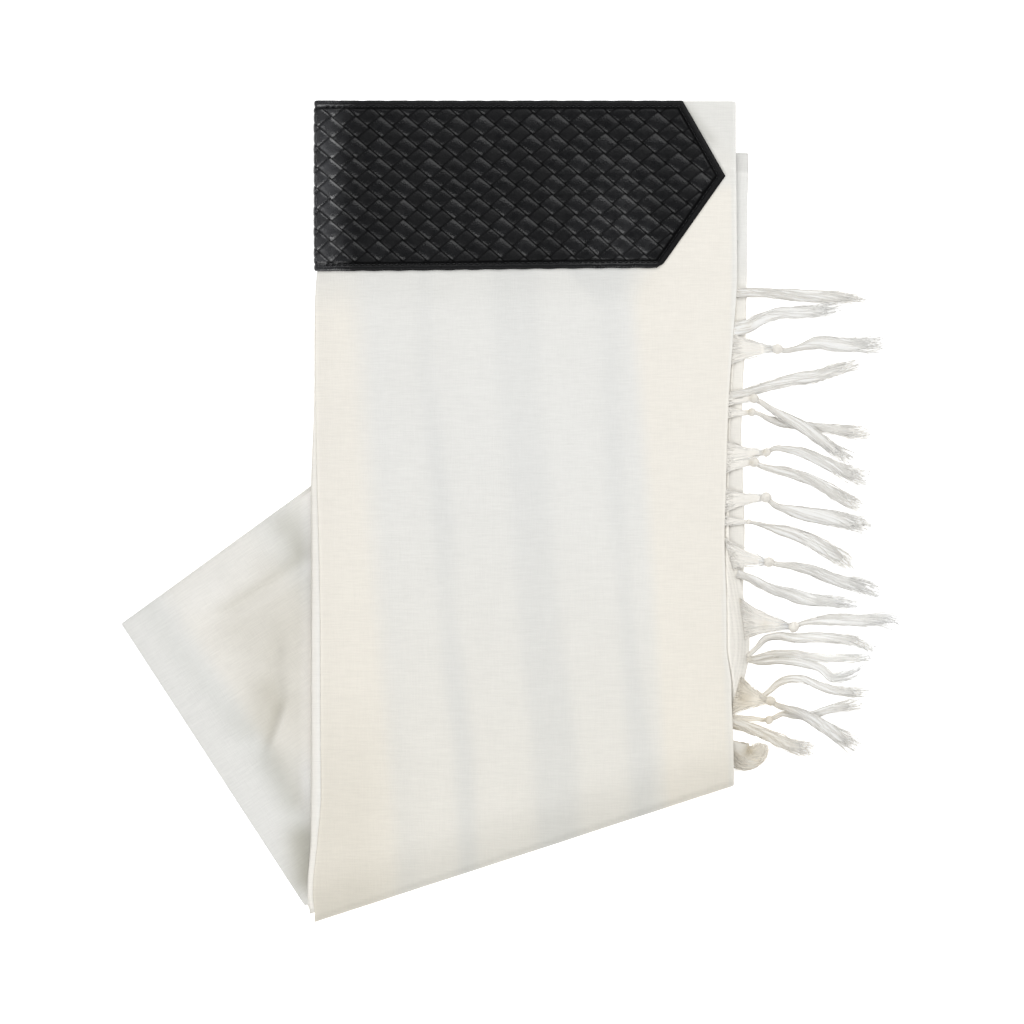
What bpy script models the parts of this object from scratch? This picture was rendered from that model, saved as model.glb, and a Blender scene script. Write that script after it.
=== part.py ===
"""Tallit prayer shawl, folded into a strip, turned up on itself and laid flat.

Metres, +Z up. X runs across the folded strip, Y runs up its length, and the origin is on the surface
that the shawl lies on, under the middle of its outline. Tables are in millimetres.
"""

import math
from collections import namedtuple

import bmesh
import bpy
import numpy as np

MM = 0.001

# Driving dimensions, in millimetres
HALF_LENGTH = 238.1         # from the middle to the neck edge, and to the tip of the slanted fold
GAP = 0.3                   # between pieces that touch
UNDER_GAP = 0.8             # under the front stretch, whose curves the layers below only roughly follow
CLOTH = 2.0                 # the front stretch: two layers of cloth pressed together
FLAP_CLOTH = 1.8
STRIP_HEIGHT = 8.8          # the folded strip, where it lies on the surface
FLAP_HEIGHT = 6.2           # the stretch turned up below it
CLIMB = 44.0                # how far the strip takes to climb over it
FOLD_REACH = 5.0            # how far the slanted fold rounds out
FOOT = 0.05                 # turned-under edges end just above the surface
LEATHER = 1.5
BAND_WIDTH = 98.3
BAND_TURN = 3.9             # plain turned edge of the band
BAND_UNDER = 14.0           # how far the band goes on under the left fold
STRANDS = 8                 # strands in a tassel
STRIP_ROWS = 25             # points along the strip, and across it
STRIP_COLUMNS = 12

# The slanted fold runs from the tip, at the left, up to the corner, at the right
TIP = np.array((-112.8, -HALF_LENGTH))
CORNER = np.array((129.1, -159.2))
# The stretch below is turned up to the left, square to its own end fold
FLAP_OUTER = np.array((-225.9, -65.0))
FLAP_HIDDEN = np.array((-25.2, 77.7))
FLAP_TIP = np.array((-119.5, -228.5))
FLAP_MEETS = 14.0           # where its end fold comes out from under the strip
FLAP_REACH = 3.0            # how far that fold rounds out

# Left side of the strip, from the neck edge down: the front cloth's fold, and the hidden layers' folds
LeftEdge = namedtuple("LeftEdge", "y front layers")
LEFT_EDGE = (
    LeftEdge(238.1, -112.2, -111.5),
    LeftEdge(139.0, -112.2, -111.8),
    LeftEdge(130.0, -113.2, -113.4),
    LeftEdge(64.7, -113.0, -114.6),
    LeftEdge(14.0, -112.2, -115.7),
    LeftEdge(-28.0, -111.0, -115.5),
    LeftEdge(-132.5, -110.2, -115.5),
    LeftEdge(-168.5, -110.0, -115.9),
    LeftEdge(-191.0, -112.0, -116.2),
    LeftEdge(-224.7, -114.5, -118.0),
    LeftEdge(-238.1, -112.8, -116.0),
)

# Right side: the front cloth's fold, the hemstitched end of the cloth, and the layer turned back beneath
RightEdge = namedtuple("RightEdge", "y front fringe back")
RIGHT_EDGE = (
    RightEdge(238.1, 130.8, 130.8, 128.0),
    RightEdge(207.9, 130.8, 130.8, 138.7),
    RightEdge(175.0, 131.2, 131.4, 138.2),
    RightEdge(131.0, 131.4, 131.6, 137.9),
    RightEdge(99.5, 129.1, 130.4, 137.2),
    RightEdge(64.7, 126.7, 128.2, 135.4),
    RightEdge(47.0, 126.0, 127.4, 134.9),
    RightEdge(18.0, 125.2, 126.6, 135.7),
    RightEdge(-16.5, 124.3, 127.0, 136.6),
    RightEdge(-36.0, 124.8, 132.5, 136.0),
    RightEdge(-57.0, 125.5, 136.4, 135.5),
    RightEdge(-80.0, 125.6, 138.6, 135.5),
    RightEdge(-99.0, 128.3, 135.8, 133.5),
    RightEdge(-115.0, 128.5, 131.8, 131.0),
    RightEdge(-134.0, 129.4, 131.0, 130.0),
    RightEdge(-159.2, 129.8, 131.2, 128.0),
)
BACK_HEM = 207.9            # the layer turned back ends in a hem, below the neck edge
FRINGE_TOP = 131.0          # the hemstitched end shows between these
FRINGE_BOTTOM = -152.0
FRINGE_INNER = 117.5

# Hidden layers, from the surface up. `top` is a height in the lower ones, and the upper ones share the room
# that is left: there it is a share. `slip` is how far a layer's folds stand out past its neighbours'.
Layer = namedtuple("Layer", "top reach slip")
LOWER_LAYERS = (
    Layer(1.2, "back", 0.0),
    Layer(2.4, "back", -0.7),
    Layer(4.0, "fringe", -0.3),
)
UPPER_LAYERS = (
    Layer(0.25, "front", 0.4),
    Layer(0.5, "front", -0.5),
    Layer(0.75, "front", 0.2),
    Layer(1.0, "front", -0.8),
)

# Tassels, from the top down. Each grows from `root` on the fringed edge, `fan` wide, into a knot, and its
# strands then run through two points to the tip. `lift` is how far those lie over what they cross.
COLUMNS = "root fan knot_x knot_y knot_r x1 y1 lift1 x2 y2 lift2 tip_x tip_y width spread"
Tassel = namedtuple("Tassel", COLUMNS)
TASSELS = (
    Tassel(127.0, 4.4, 142.5, 127.2, 1.9, 154.0, 126.9, 0.0, 182.0, 125.2, 0.0, 205.6, 123.2, 6.0, 6.6),
    Tassel(106.8, 4.4, 142.5, 110.0, 2.0, 153.0, 114.6, 0.0, 173.0, 116.2, 0.0, 192.3, 118.4, 6.8, 4.4),
    Tassel(94.3, 16.0, 154.9, 94.3, 3.1, 166.2, 95.0, 0.0, 190.0, 97.6, 0.0, 217.2, 98.3, 8.0, 8.6),
    Tassel(71.5, 4.0, 143.0, 70.2, 1.9, 155.7, 74.6, 0.0, 180.0, 79.6, 0.0, 207.4, 88.3, 6.6, 7.2),
    Tassel(64.8, 3.6, 141.4, 65.4, 2.4, 157.0, 55.8, 3.6, 177.0, 43.6, 3.0, 198.1, 31.0, 6.4, 6.4),
    Tassel(57.2, 3.8, 139.8, 57.8, 2.5, 154.0, 51.4, 0.0, 183.0, 48.4, 0.0, 208.5, 45.6, 5.8, 6.6),
    Tassel(36.0, 11.0, 148.5, 34.0, 2.6, 162.7, 35.7, 0.0, 181.0, 28.9, 0.0, 208.5, 18.6, 6.2, 8.0),
    Tassel(24.5, 3.8, 141.4, 28.4, 2.4, 158.0, 23.2, 0.0, 183.0, 13.6, 0.0, 205.0, 4.4, 6.2, 6.6),
    Tassel(6.7, 13.4, 148.2, 7.8, 3.2, 162.7, 0.6, 0.0, 183.0, -3.4, 0.0, 209.7, -9.6, 8.6, 9.0),
    Tassel(-5.0, 3.6, 138.6, -6.1, 1.8, 158.0, -10.9, 0.0, 179.5, -20.0, 0.0, 201.6, -33.0, 5.6, 5.4),
    Tassel(-24.7, 17.0, 149.9, -28.8, 3.2, 172.6, -34.4, 0.0, 193.4, -41.4, 0.0, 215.5, -47.8, 7.4, 8.4),
    Tassel(-38.6, 3.0, 144.6, -39.8, 1.8, 155.0, -45.9, 0.0, 176.0, -51.2, 0.0, 201.0, -54.6, 6.0, 6.0),
    Tassel(-62.2, 24.0, 164.3, -66.4, 3.1, 179.5, -63.6, 0.0, 203.0, -63.2, 0.0, 225.9, -65.0, 6.6, 7.4),
    Tassel(-79.6, 3.0, 146.6, -76.2, 1.5, 156.0, -72.4, 4.2, 178.0, -74.0, 0.0, 209.7, -78.6, 4.4, 5.4),
    Tassel(-84.6, 3.0, 148.6, -84.0, 1.5, 163.0, -83.2, 0.0, 184.0, -85.0, 0.0, 208.5, -85.0, 4.4, 5.4),
    Tassel(-90.2, 3.0, 147.0, -89.6, 1.5, 170.0, -90.6, 0.0, 186.0, -96.0, 0.0, 205.0, -92.6, 4.2, 5.0),
    Tassel(-107.0, 18.0, 151.0, -109.6, 2.9, 166.2, -115.7, 4.0, 184.5, -126.9, 2.0, 202.7, -138.2, 8.4, 10),
    Tassel(-97.0, 2.0, 148.0, -99.8, 1.4, 160.0, -97.4, 0.0, 181.5, -102.6, 0.0, 209.1, -105.8, 4.2, 5.0),
    Tassel(-120.4, 3.0, 149.9, -120.4, 2.4, 162.0, -117.8, 0.0, 183.0, -114.8, 0.0, 203.9, -112.4, 4.8, 5.6),
    Tassel(-126.6, 3.6, 143.0, -127.4, 1.9, 152.0, -131.4, 0.0, 161.0, -135.4, 0.0, 176.0, -139.0, 7.4, 12.0),
    Tassel(-134.5, 3.4, 137.6, -140.6, 1.7, 140.6, -146.0, 0.0, 147.0, -146.6, 0.0, 150.6, -139.2, 4.6, 4.6),
)


def clear_scene():
    """Empties the scene of whatever it holds."""
    for obj in list(bpy.data.objects):
        bpy.data.objects.remove(obj, do_unlink=True)


def material(name, colour, roughness, metallic=0.0):
    """A plain Principled material."""
    made = bpy.data.materials.new(name)
    made.use_nodes = True
    shader = made.node_tree.nodes["Principled BSDF"]
    shader.inputs["Base Color"].default_value = (*colour, 1.0)
    shader.inputs["Roughness"].default_value = roughness
    shader.inputs["Metallic"].default_value = metallic
    return made


def add_solid(name, points, faces, finish, collection):
    """One object from points in millimetres, with its faces turned outward."""
    mesh = bpy.data.meshes.new(name)
    mesh.from_pydata((np.asarray(points) * MM).tolist(), [], [list(map(int, face)) for face in faces])
    cage = bmesh.new()
    cage.from_mesh(mesh)
    bmesh.ops.recalc_face_normals(cage, faces=cage.faces)
    cage.to_mesh(mesh)
    cage.free()
    mesh.shade_smooth()
    mesh.set_sharp_from_angle(angle=math.radians(40))
    mesh.materials.append(finish)
    made = bpy.data.objects.new(name, mesh)
    collection.objects.link(made)
    return made


def edge_at(table, column, y):
    """A side's place at the heights y: a cubic through the rows, its slopes those of the rows beside."""
    knots = np.array([row.y for row in table])[::-1]
    values = np.array([getattr(row, column) for row in table])[::-1]
    slopes = np.gradient(values, knots)
    y = np.clip(y, knots[0], knots[-1])
    start = np.clip(np.searchsorted(knots, y) - 1, 0, len(knots) - 2)
    span = knots[start + 1] - knots[start]
    t = (y - knots[start]) / span
    rise = values[start + 1] - values[start]
    into, out_of = slopes[start] * span, slopes[start + 1] * span
    # Slopes are held back where they would swing past the rows on either side
    limit = 3.0 * np.abs(rise)
    into, out_of = np.clip(into, -limit, limit), np.clip(out_of, -limit, limit)
    curve = t * into + t**2 * (3 * rise - 2 * into - out_of) + t**3 * (into + out_of - 2 * rise)
    return values[start] + curve


def smooth_step(distance, start, end):
    """0 before start, 1 after end, and eased between them."""
    t = np.clip((distance - start) / (end - start), 0.0, 1.0)
    return t * t * (3.0 - 2.0 * t)


def side_of(points, start, end):
    """Distance of the points to the right of the line from start to end, seen from above."""
    along = (end - start) / np.linalg.norm(end - start)
    away = points - start
    return away[..., 0] * along[1] - away[..., 1] * along[0]


def pile_height(points):
    """Top of the folded strip: it lies on the surface, and climbs over the stretch turned up below it."""
    over_side = smooth_step(side_of(points, FLAP_HIDDEN, CORNER), -CLIMB, CLIMB / 5)
    over_end = smooth_step(side_of(points, FLAP_OUTER, FLAP_HIDDEN), -CLIMB, CLIMB / 5)
    return STRIP_HEIGHT + FLAP_HEIGHT * over_side * over_end


FOLD_LINE = (CORNER - TIP) / np.linalg.norm(CORNER - TIP)
FOLD_OUT = np.array((FOLD_LINE[1], -FOLD_LINE[0]))


def strip_sides(rows, column, left_in, right_in, fold_in):
    """The strip's left and right points, row by row down to the slanted fold, drawn in from both."""
    down = np.linspace(0.0, 1.0, rows)
    foot = fold_in / FOLD_OUT[1]
    neck_edge = HALF_LENGTH - CLOTH / 2
    left_y = neck_edge + (TIP[1] - foot - neck_edge) * down
    right_y = neck_edge + (CORNER[1] - foot - neck_edge) * down
    left_x = edge_at(LEFT_EDGE, column, left_y) + left_in
    right_x = edge_at(RIGHT_EDGE, "front", right_y) - right_in
    return np.stack((left_x, left_y), -1), np.stack((right_x, right_y), -1)


def across_rows(left, right, columns):
    """A grid whose rows run straight from the left points to the right ones."""
    share = np.linspace(0.0, 1.0, columns)[None, :, None]
    return left[:, None] + (right - left)[:, None] * share


def with_height(plan, height):
    """Plan points with their heights."""
    return np.concatenate((plan, np.broadcast_to(height, plan.shape[:-1])[..., None]), -1)


def outline_order(rows, columns):
    """Indices of a grid's outer points, once round."""
    index = np.arange(rows * columns).reshape(rows, columns)
    return np.concatenate((index[0], index[1:, -1], index[-1, -2::-1], index[-2:0:-1, 0]))


def grid_faces(rows, columns):
    """The four-sided faces of a grid of points."""
    index = np.arange(rows * columns).reshape(rows, columns)
    return np.stack((index[:-1, :-1], index[:-1, 1:], index[1:, 1:], index[1:, :-1]), -1).reshape(-1, 4)


def ring_faces(first, second):
    """Faces between two rings that have as many points."""
    return np.stack((first, np.roll(first, -1), np.roll(second, -1), second), -1)


def wall(name, outer, thickness, finish, collection):
    """A closed wall of cloth: the outer grid, the same grid moved in along its normals, and rounded edges."""
    rows, columns = outer.shape[:2]
    down, across = np.gradient(outer, axis=0), np.gradient(outer, axis=1)
    normal = np.cross(down, across)
    normal /= np.linalg.norm(normal, axis=-1, keepdims=True)
    inner = outer - normal * thickness
    # Each edge point is pushed out in the sheet's own plane, square to its edge
    push = np.zeros_like(outer)
    push[0] -= down[0] / np.linalg.norm(down[0], axis=-1, keepdims=True)
    push[-1] += down[-1] / np.linalg.norm(down[-1], axis=-1, keepdims=True)
    push[:, 0] -= across[:, 0] / np.linalg.norm(across[:, 0], axis=-1, keepdims=True)
    push[:, -1] += across[:, -1] / np.linalg.norm(across[:, -1], axis=-1, keepdims=True)
    edge = outline_order(rows, columns)
    top, under = outer.reshape(-1, 3), inner.reshape(-1, 3)
    out = push.reshape(-1, 3)[edge]
    out /= np.linalg.norm(out, axis=-1, keepdims=True)
    points, faces = [top, under], [grid_faces(rows, columns), grid_faces(rows, columns)[:, ::-1] + len(top)]
    ring = edge
    count = 2 * len(top)
    for turn in (40.0, 90.0, 140.0):
        angle = math.radians(turn)
        middle = (top[edge] + under[edge]) / 2 + (top[edge] - under[edge]) / 2 * math.cos(angle)
        points.append(middle + out * thickness / 2 * math.sin(angle))
        following = count + np.arange(len(edge))
        faces.append(ring_faces(ring, following))
        ring, count = following, count + len(edge)
    faces.append(ring_faces(ring, edge + len(top)))
    return add_solid(name, np.concatenate(points), [f for part in faces for f in part], finish, collection)


def front_panel(finish, collection):
    """The front stretch of cloth: flat on top, folded at both sides, turned down round the slanted fold."""
    left, right = strip_sides(STRIP_ROWS, "front", CLOTH / 2, CLOTH / 2, FOLD_REACH)
    top = across_rows(left, right, STRIP_COLUMNS)
    top = with_height(top, pile_height(top))
    foot, crown = top[-1, :, :2], top[-1, :, 2]
    turned = []
    for turn in range(30, 181, 30):
        angle = math.radians(turn)
        reach = foot + FOLD_OUT * FOLD_REACH * math.sin(angle)
        turned.append(with_height(reach, FOOT + (crown - FOOT) * (1 + math.cos(angle)) / 2))
    return wall("front_panel", np.concatenate((top, np.stack(turned))), CLOTH, finish, collection)


def flap_panel(finish, collection):
    """The stretch that comes out below, its top layer: down round its end fold, and flat up to the strip."""
    along = (FLAP_TIP - FLAP_OUTER) / np.linalg.norm(FLAP_TIP - FLAP_OUTER)
    inward = np.array((-along[1], along[0]))
    start = FLAP_OUTER + along * FLAP_REACH + inward * FLAP_CLOTH / 2
    end = FLAP_TIP - along * 3.0 + inward * FLAP_CLOTH / 2
    share = np.linspace(0.0, 1.0, 12)[:, None]
    left = start + (end - start) * share
    # Each row runs square to the fold at the left, until it meets the side of the strip
    side = np.linspace(FLAP_MEETS - FLAP_REACH, -221.0, 12)
    right_x = edge_at(LEFT_EDGE, "layers", side) - FLAP_CLOTH / 2 - GAP - 0.5
    right = np.stack((right_x, side), -1)
    top = with_height(across_rows(left, right, 7), FLAP_HEIGHT)
    foot = top[0, :, :2]
    turned = []
    for turn in range(180, 29, -30):
        angle = math.radians(turn)
        out = foot - along * FLAP_REACH * math.sin(angle)
        turned.append(with_height(out, FOOT + (FLAP_HEIGHT - FOOT) * (1 + math.cos(angle)) / 2))
    return wall("flap_panel", np.concatenate((np.stack(turned), top)), FLAP_CLOTH, finish, collection)


def legs(*corners):
    """Points along straight legs. Each corner is (point, how many steps lead to it)."""
    run = [np.array(corners[0][0], float)]
    for corner, steps in corners[1:]:
        begin = run[-1]
        run.extend(begin + (np.array(corner, float) - begin) * step / steps for step in range(1, steps + 1))
    return np.array(run)


def hidden_outline(reach, fold_in):
    """Left and right points of a hidden layer, which stops fold_in short of the slanted fold's outline."""
    left, right = strip_sides(STRIP_ROWS, "layers", 0.0, 2.4, fold_in)
    if reach == "front":
        # Room is left for the neck band, which turns under at the left
        left[left[:, 1] > HALF_LENGTH - BAND_WIDTH - 6.0, 0] += BAND_UNDER + 6.0
        return left, right
    # Low down the left side follows the stretch turned up below, round its far corner
    along = (FLAP_TIP - FLAP_OUTER) / np.linalg.norm(FLAP_TIP - FLAP_OUTER)
    inward = np.array((-along[1], along[0]))
    corner = FLAP_OUTER + along * (FLAP_REACH + 2.2) + inward * 0.6
    above = STRIP_ROWS // 2
    start = (left[above, 0], FLAP_MEETS - 8.0)
    to_tip = STRIP_ROWS - above - 6
    turned_up = legs((start, 0), (corner, 4), (FLAP_TIP + inward * 0.8, to_tip), (left[-1], 1))
    left = np.concatenate((left[:above], turned_up))
    if reach == "fringe":
        # The hemstitched end of the cloth lies in this layer's place
        right[right[:, 1] < FRINGE_TOP + 20.0, 0] = FRINGE_INNER - 2.0
        return left, right
    # The layer turned back shows at the right, from its hem down
    back_y = np.linspace(BACK_HEM, right[-1, 1], STRIP_ROWS - 3)
    below_hem = np.stack((edge_at(RIGHT_EDGE, "back", back_y), back_y), -1)
    above_hem = legs((right[0], 0), ((128.2, BACK_HEM), 2))
    return left, np.concatenate((above_hem, below_hem))


def hidden_ring(layer, height, inset):
    """A layer's grid at a height, its outline drawn in by the inset on every side."""
    # The folds nest inside the rounded fold of the front stretch
    middle = (STRIP_HEIGHT + FLAP_HEIGHT) / 2
    nest = math.sqrt(max(0.0, 1.0 - ((height - middle) / (middle - CLOTH - 1.0)) ** 2))
    fold_in = FOLD_REACH + 0.6 - (FOLD_REACH - CLOTH - UNDER_GAP) * nest
    left, right = hidden_outline(layer.reach, fold_in)
    grid = across_rows(left, right, STRIP_COLUMNS)
    away = grid - grid.mean(axis=1, keepdims=True)
    grid = grid - inset * away / np.maximum(np.linalg.norm(away, axis=-1, keepdims=True), 40.0)
    grid[0, :, 1] -= inset
    grid[-1] -= inset * FOLD_OUT
    return grid


def hidden_layers(finish, collection):
    """The layers that don't show, as one solid: a ring for each fold's foot, middle and top, then the top."""
    edge = outline_order(STRIP_ROWS, STRIP_COLUMNS)
    lower_top = LOWER_LAYERS[-1].top
    full_room = STRIP_HEIGHT + FLAP_HEIGHT - CLOTH - UNDER_GAP - lower_top
    points, faces = [], []
    last = None
    floor = 0.0
    for layer in LOWER_LAYERS + UPPER_LAYERS:
        for share, groove in ((0.02, 0.5), (0.5, 0.0), (0.98, 0.5)):
            part = floor + (layer.top - floor) * share if last is not None else 0.0
            inset = 1.0 - layer.slip + groove
            if layer in LOWER_LAYERS:
                grid = hidden_ring(layer, part, inset)
                height = part
            else:
                grid = hidden_ring(layer, lower_top + full_room * part, inset)
                height = lower_top + (pile_height(grid) - CLOTH - UNDER_GAP - lower_top) * part
            level = with_height(grid, height).reshape(-1, 3)
            ring = len(points) * len(edge) + np.arange(len(edge))
            points.append(level[edge])
            if last is None:
                faces.append(ring[::-1])
            else:
                faces.extend(ring_faces(last, ring))
            last = ring
        floor = layer.top if layer is not LOWER_LAYERS[-1] else 0.0
    # The top is the last level's own grid, inside its ring
    index = np.full(len(level), -1)
    index[edge] = last
    inside = np.setdiff1d(np.arange(len(level)), edge)
    index[inside] = last[-1] + 1 + np.arange(len(inside))
    points.append(level[inside])
    faces.extend(index[grid_faces(STRIP_ROWS, STRIP_COLUMNS)])
    return add_solid("hidden_layers", np.concatenate(points), faces, finish, collection)


def fringe_edge(finish, collection):
    """The hemstitched end of the cloth, tucked in under the front stretch."""
    y = np.linspace(FRINGE_TOP, FRINGE_BOTTOM, 24)
    outer_x = edge_at(RIGHT_EDGE, "fringe", y) - 0.5
    inner = np.stack((np.full_like(y, FRINGE_INNER), y), -1)
    plan = across_rows(inner, np.stack((outer_x, y), -1), 3)
    return wall("fringe_edge", with_height(plan, 3.7), 1.0, finish, collection)


def band_place(along, y, height):
    """A point of the neck band: along runs from the fold to the point; below 0 it goes round and under."""
    centre = edge_at(LEFT_EDGE, "front", y) + CLOTH / 2
    radius = CLOTH / 2 + GAP + LEATHER / 2
    arc = math.pi * radius
    turn = np.clip(-along / radius, 0.0, math.pi)
    out = CLOTH / 2 + GAP + height
    x = centre + np.where(along > 0, along, 0.0) + np.maximum(-along - arc, 0.0) - out * np.sin(turn)
    cloth = pile_height(np.stack((np.maximum(x, centre), y), -1))
    return np.stack((x, y, cloth - CLOTH / 2 + out * np.cos(turn)), -1)


def merge_flat(made, first):
    """Joins the coplanar faces of a solid whose corners all come at or after the given point."""
    cage = bmesh.new()
    cage.from_mesh(made.data)
    cage.verts.ensure_lookup_table()
    later = set(cage.verts[first:])
    inside = [vert for vert in later if all(edge.other_vert(vert) in later for edge in vert.link_edges)]
    inside.sort(key=lambda vert: vert.index)
    edges = {edge for vert in inside for edge in vert.link_edges}
    in_order = sorted(edges, key=lambda edge: edge.index)
    bmesh.ops.dissolve_limit(cage, angle_limit=math.radians(0.2), verts=inside, edges=in_order)
    cage.to_mesh(made.data)
    cage.free()


def neck_band(finish, collection):
    """The leather neck band: plaited strips stand up as a lattice inside its plain turned edges."""
    cell_x, cell_y = 7.25, 6.03
    field_rows = 15
    arc = math.pi * (CLOTH / 2 + GAP + LEATHER / 2)
    top = HALF_LENGTH
    bottom = HALF_LENGTH - BAND_WIDTH
    along = [-arc - BAND_UNDER, -arc - BAND_UNDER / 2] + [-arc * part / 5 for part in range(5, 0, -1)]
    first = len(along)
    along += [cell_x * column for column in range(34)]
    rows = [top] + [top - BAND_TURN - cell_y * row for row in range(field_rows + 1)] + [bottom]

    cage = bmesh.new()
    net = [[cage.verts.new((s, y, 0.0)) for s in along] for y in rows]
    raised = {}
    for r, row in enumerate(net):
        for c, corner in enumerate(row):
            in_field = 0 < r < len(net) - 1 and c >= first
            raised[corner] = in_field and 1 < r < len(net) - 2 and (r + c) % 2 == 0
    for r in range(len(net) - 1):
        for c in range(len(along) - 1):
            square = (net[r][c], net[r][c + 1], net[r + 1][c + 1], net[r + 1][c])
            if (r + c) % 2 == 0:
                cage.faces.new((square[0], square[1], square[3]))
                cage.faces.new((square[1], square[2], square[3]))
            else:
                cage.faces.new((square[0], square[1], square[2]))
                cage.faces.new((square[0], square[2], square[3]))
    high = {tuple(vert.co) for vert, up in raised.items() if up}

    # The point: its upper side, then its lower one
    tip, shoulder, heel = (236.0, 193.8), (211.3, top), (198.6, bottom)
    cuts = []
    for near in (shoulder, heel):
        run = np.array(near) - np.array(tip)
        out = np.array((run[1], -run[0])) / np.linalg.norm(run)
        out *= np.sign(out[0])
        cuts.append((np.array(tip), out))
    for point, out in cuts:
        everything = cage.verts[:] + cage.edges[:] + cage.faces[:]
        bmesh.ops.bisect_plane(
            cage, geom=everything, plane_co=(*point, 0.0), plane_no=(*out, 0.0), clear_outer=True, dist=1e-4
        )
    for point, out in cuts:
        everything = cage.verts[:] + cage.edges[:] + cage.faces[:]
        inner = point - out * BAND_TURN
        bmesh.ops.bisect_plane(cage, geom=everything, plane_co=(*inner, 0.0), plane_no=(*out, 0.0), dist=1e-4)
    bmesh.ops.dissolve_degenerate(cage, dist=0.05, edges=cage.edges[:])
    bmesh.ops.triangulate(cage, faces=cage.faces[:])

    verts = list(cage.verts)
    index = {vert: i for i, vert in enumerate(verts)}
    flat = np.array([vert.co[:2] for vert in verts])
    inside = np.min([-(flat - point) @ out for point, out in cuts], axis=0)
    plain = (inside < BAND_TURN - 0.05) | (flat[:, 1] > top - 0.1) | (flat[:, 1] < bottom + 0.1)
    lifted = np.array([tuple(vert.co) in high for vert in verts]) & (inside > BAND_TURN + 1.5)
    height = np.where(plain, LEATHER - 0.2, np.where(lifted, LEATHER + 0.55, LEATHER - 0.05))
    outer = band_place(flat[:, 0], flat[:, 1], height)
    inner = band_place(flat[:, 0], flat[:, 1], np.zeros(len(flat)))
    faces = [[index[vert] for vert in face.verts] for face in cage.faces]
    faces += [[i + len(flat) for i in reversed(face)] for face in faces]
    for side in cage.edges:
        if side.is_boundary:
            a, b = (index[vert] for vert in side.verts)
            faces.append((a, b, b + len(flat), a + len(flat)))
    cage.free()
    band = add_solid("neck_band", np.concatenate((outer, inner)), faces, finish, collection)
    merge_flat(band, len(flat))
    return band


def ground(x, y):
    """What a tassel lies on: the layer turned back beneath, then the surface beyond it."""
    past = x - edge_at(RIGHT_EDGE, "back", y)
    return 2.7 - 2.3 * smooth_step(past, 3.0, 10.0)


def bend(points, shares):
    """A smooth curve through the points, read at shares of its length."""
    points = np.array(points, float)
    steps = np.linalg.norm(np.diff(points, axis=0), axis=1)
    knots = np.concatenate(((0.0,), np.cumsum(steps))) / steps.sum()
    slopes = np.gradient(points, knots, axis=0)
    start = np.clip(np.searchsorted(knots, shares, side="right") - 1, 0, len(knots) - 2)
    span = (knots[start + 1] - knots[start])[:, None]
    t = (shares - knots[start])[:, None] / span
    rise = points[start + 1] - points[start]
    into, out_of = slopes[start] * span, slopes[start + 1] * span
    curve = t * into + t**2 * (3 * rise - 2 * into - out_of) + t**3 * (into + out_of - 2 * rise)
    return points[start] + curve


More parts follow.
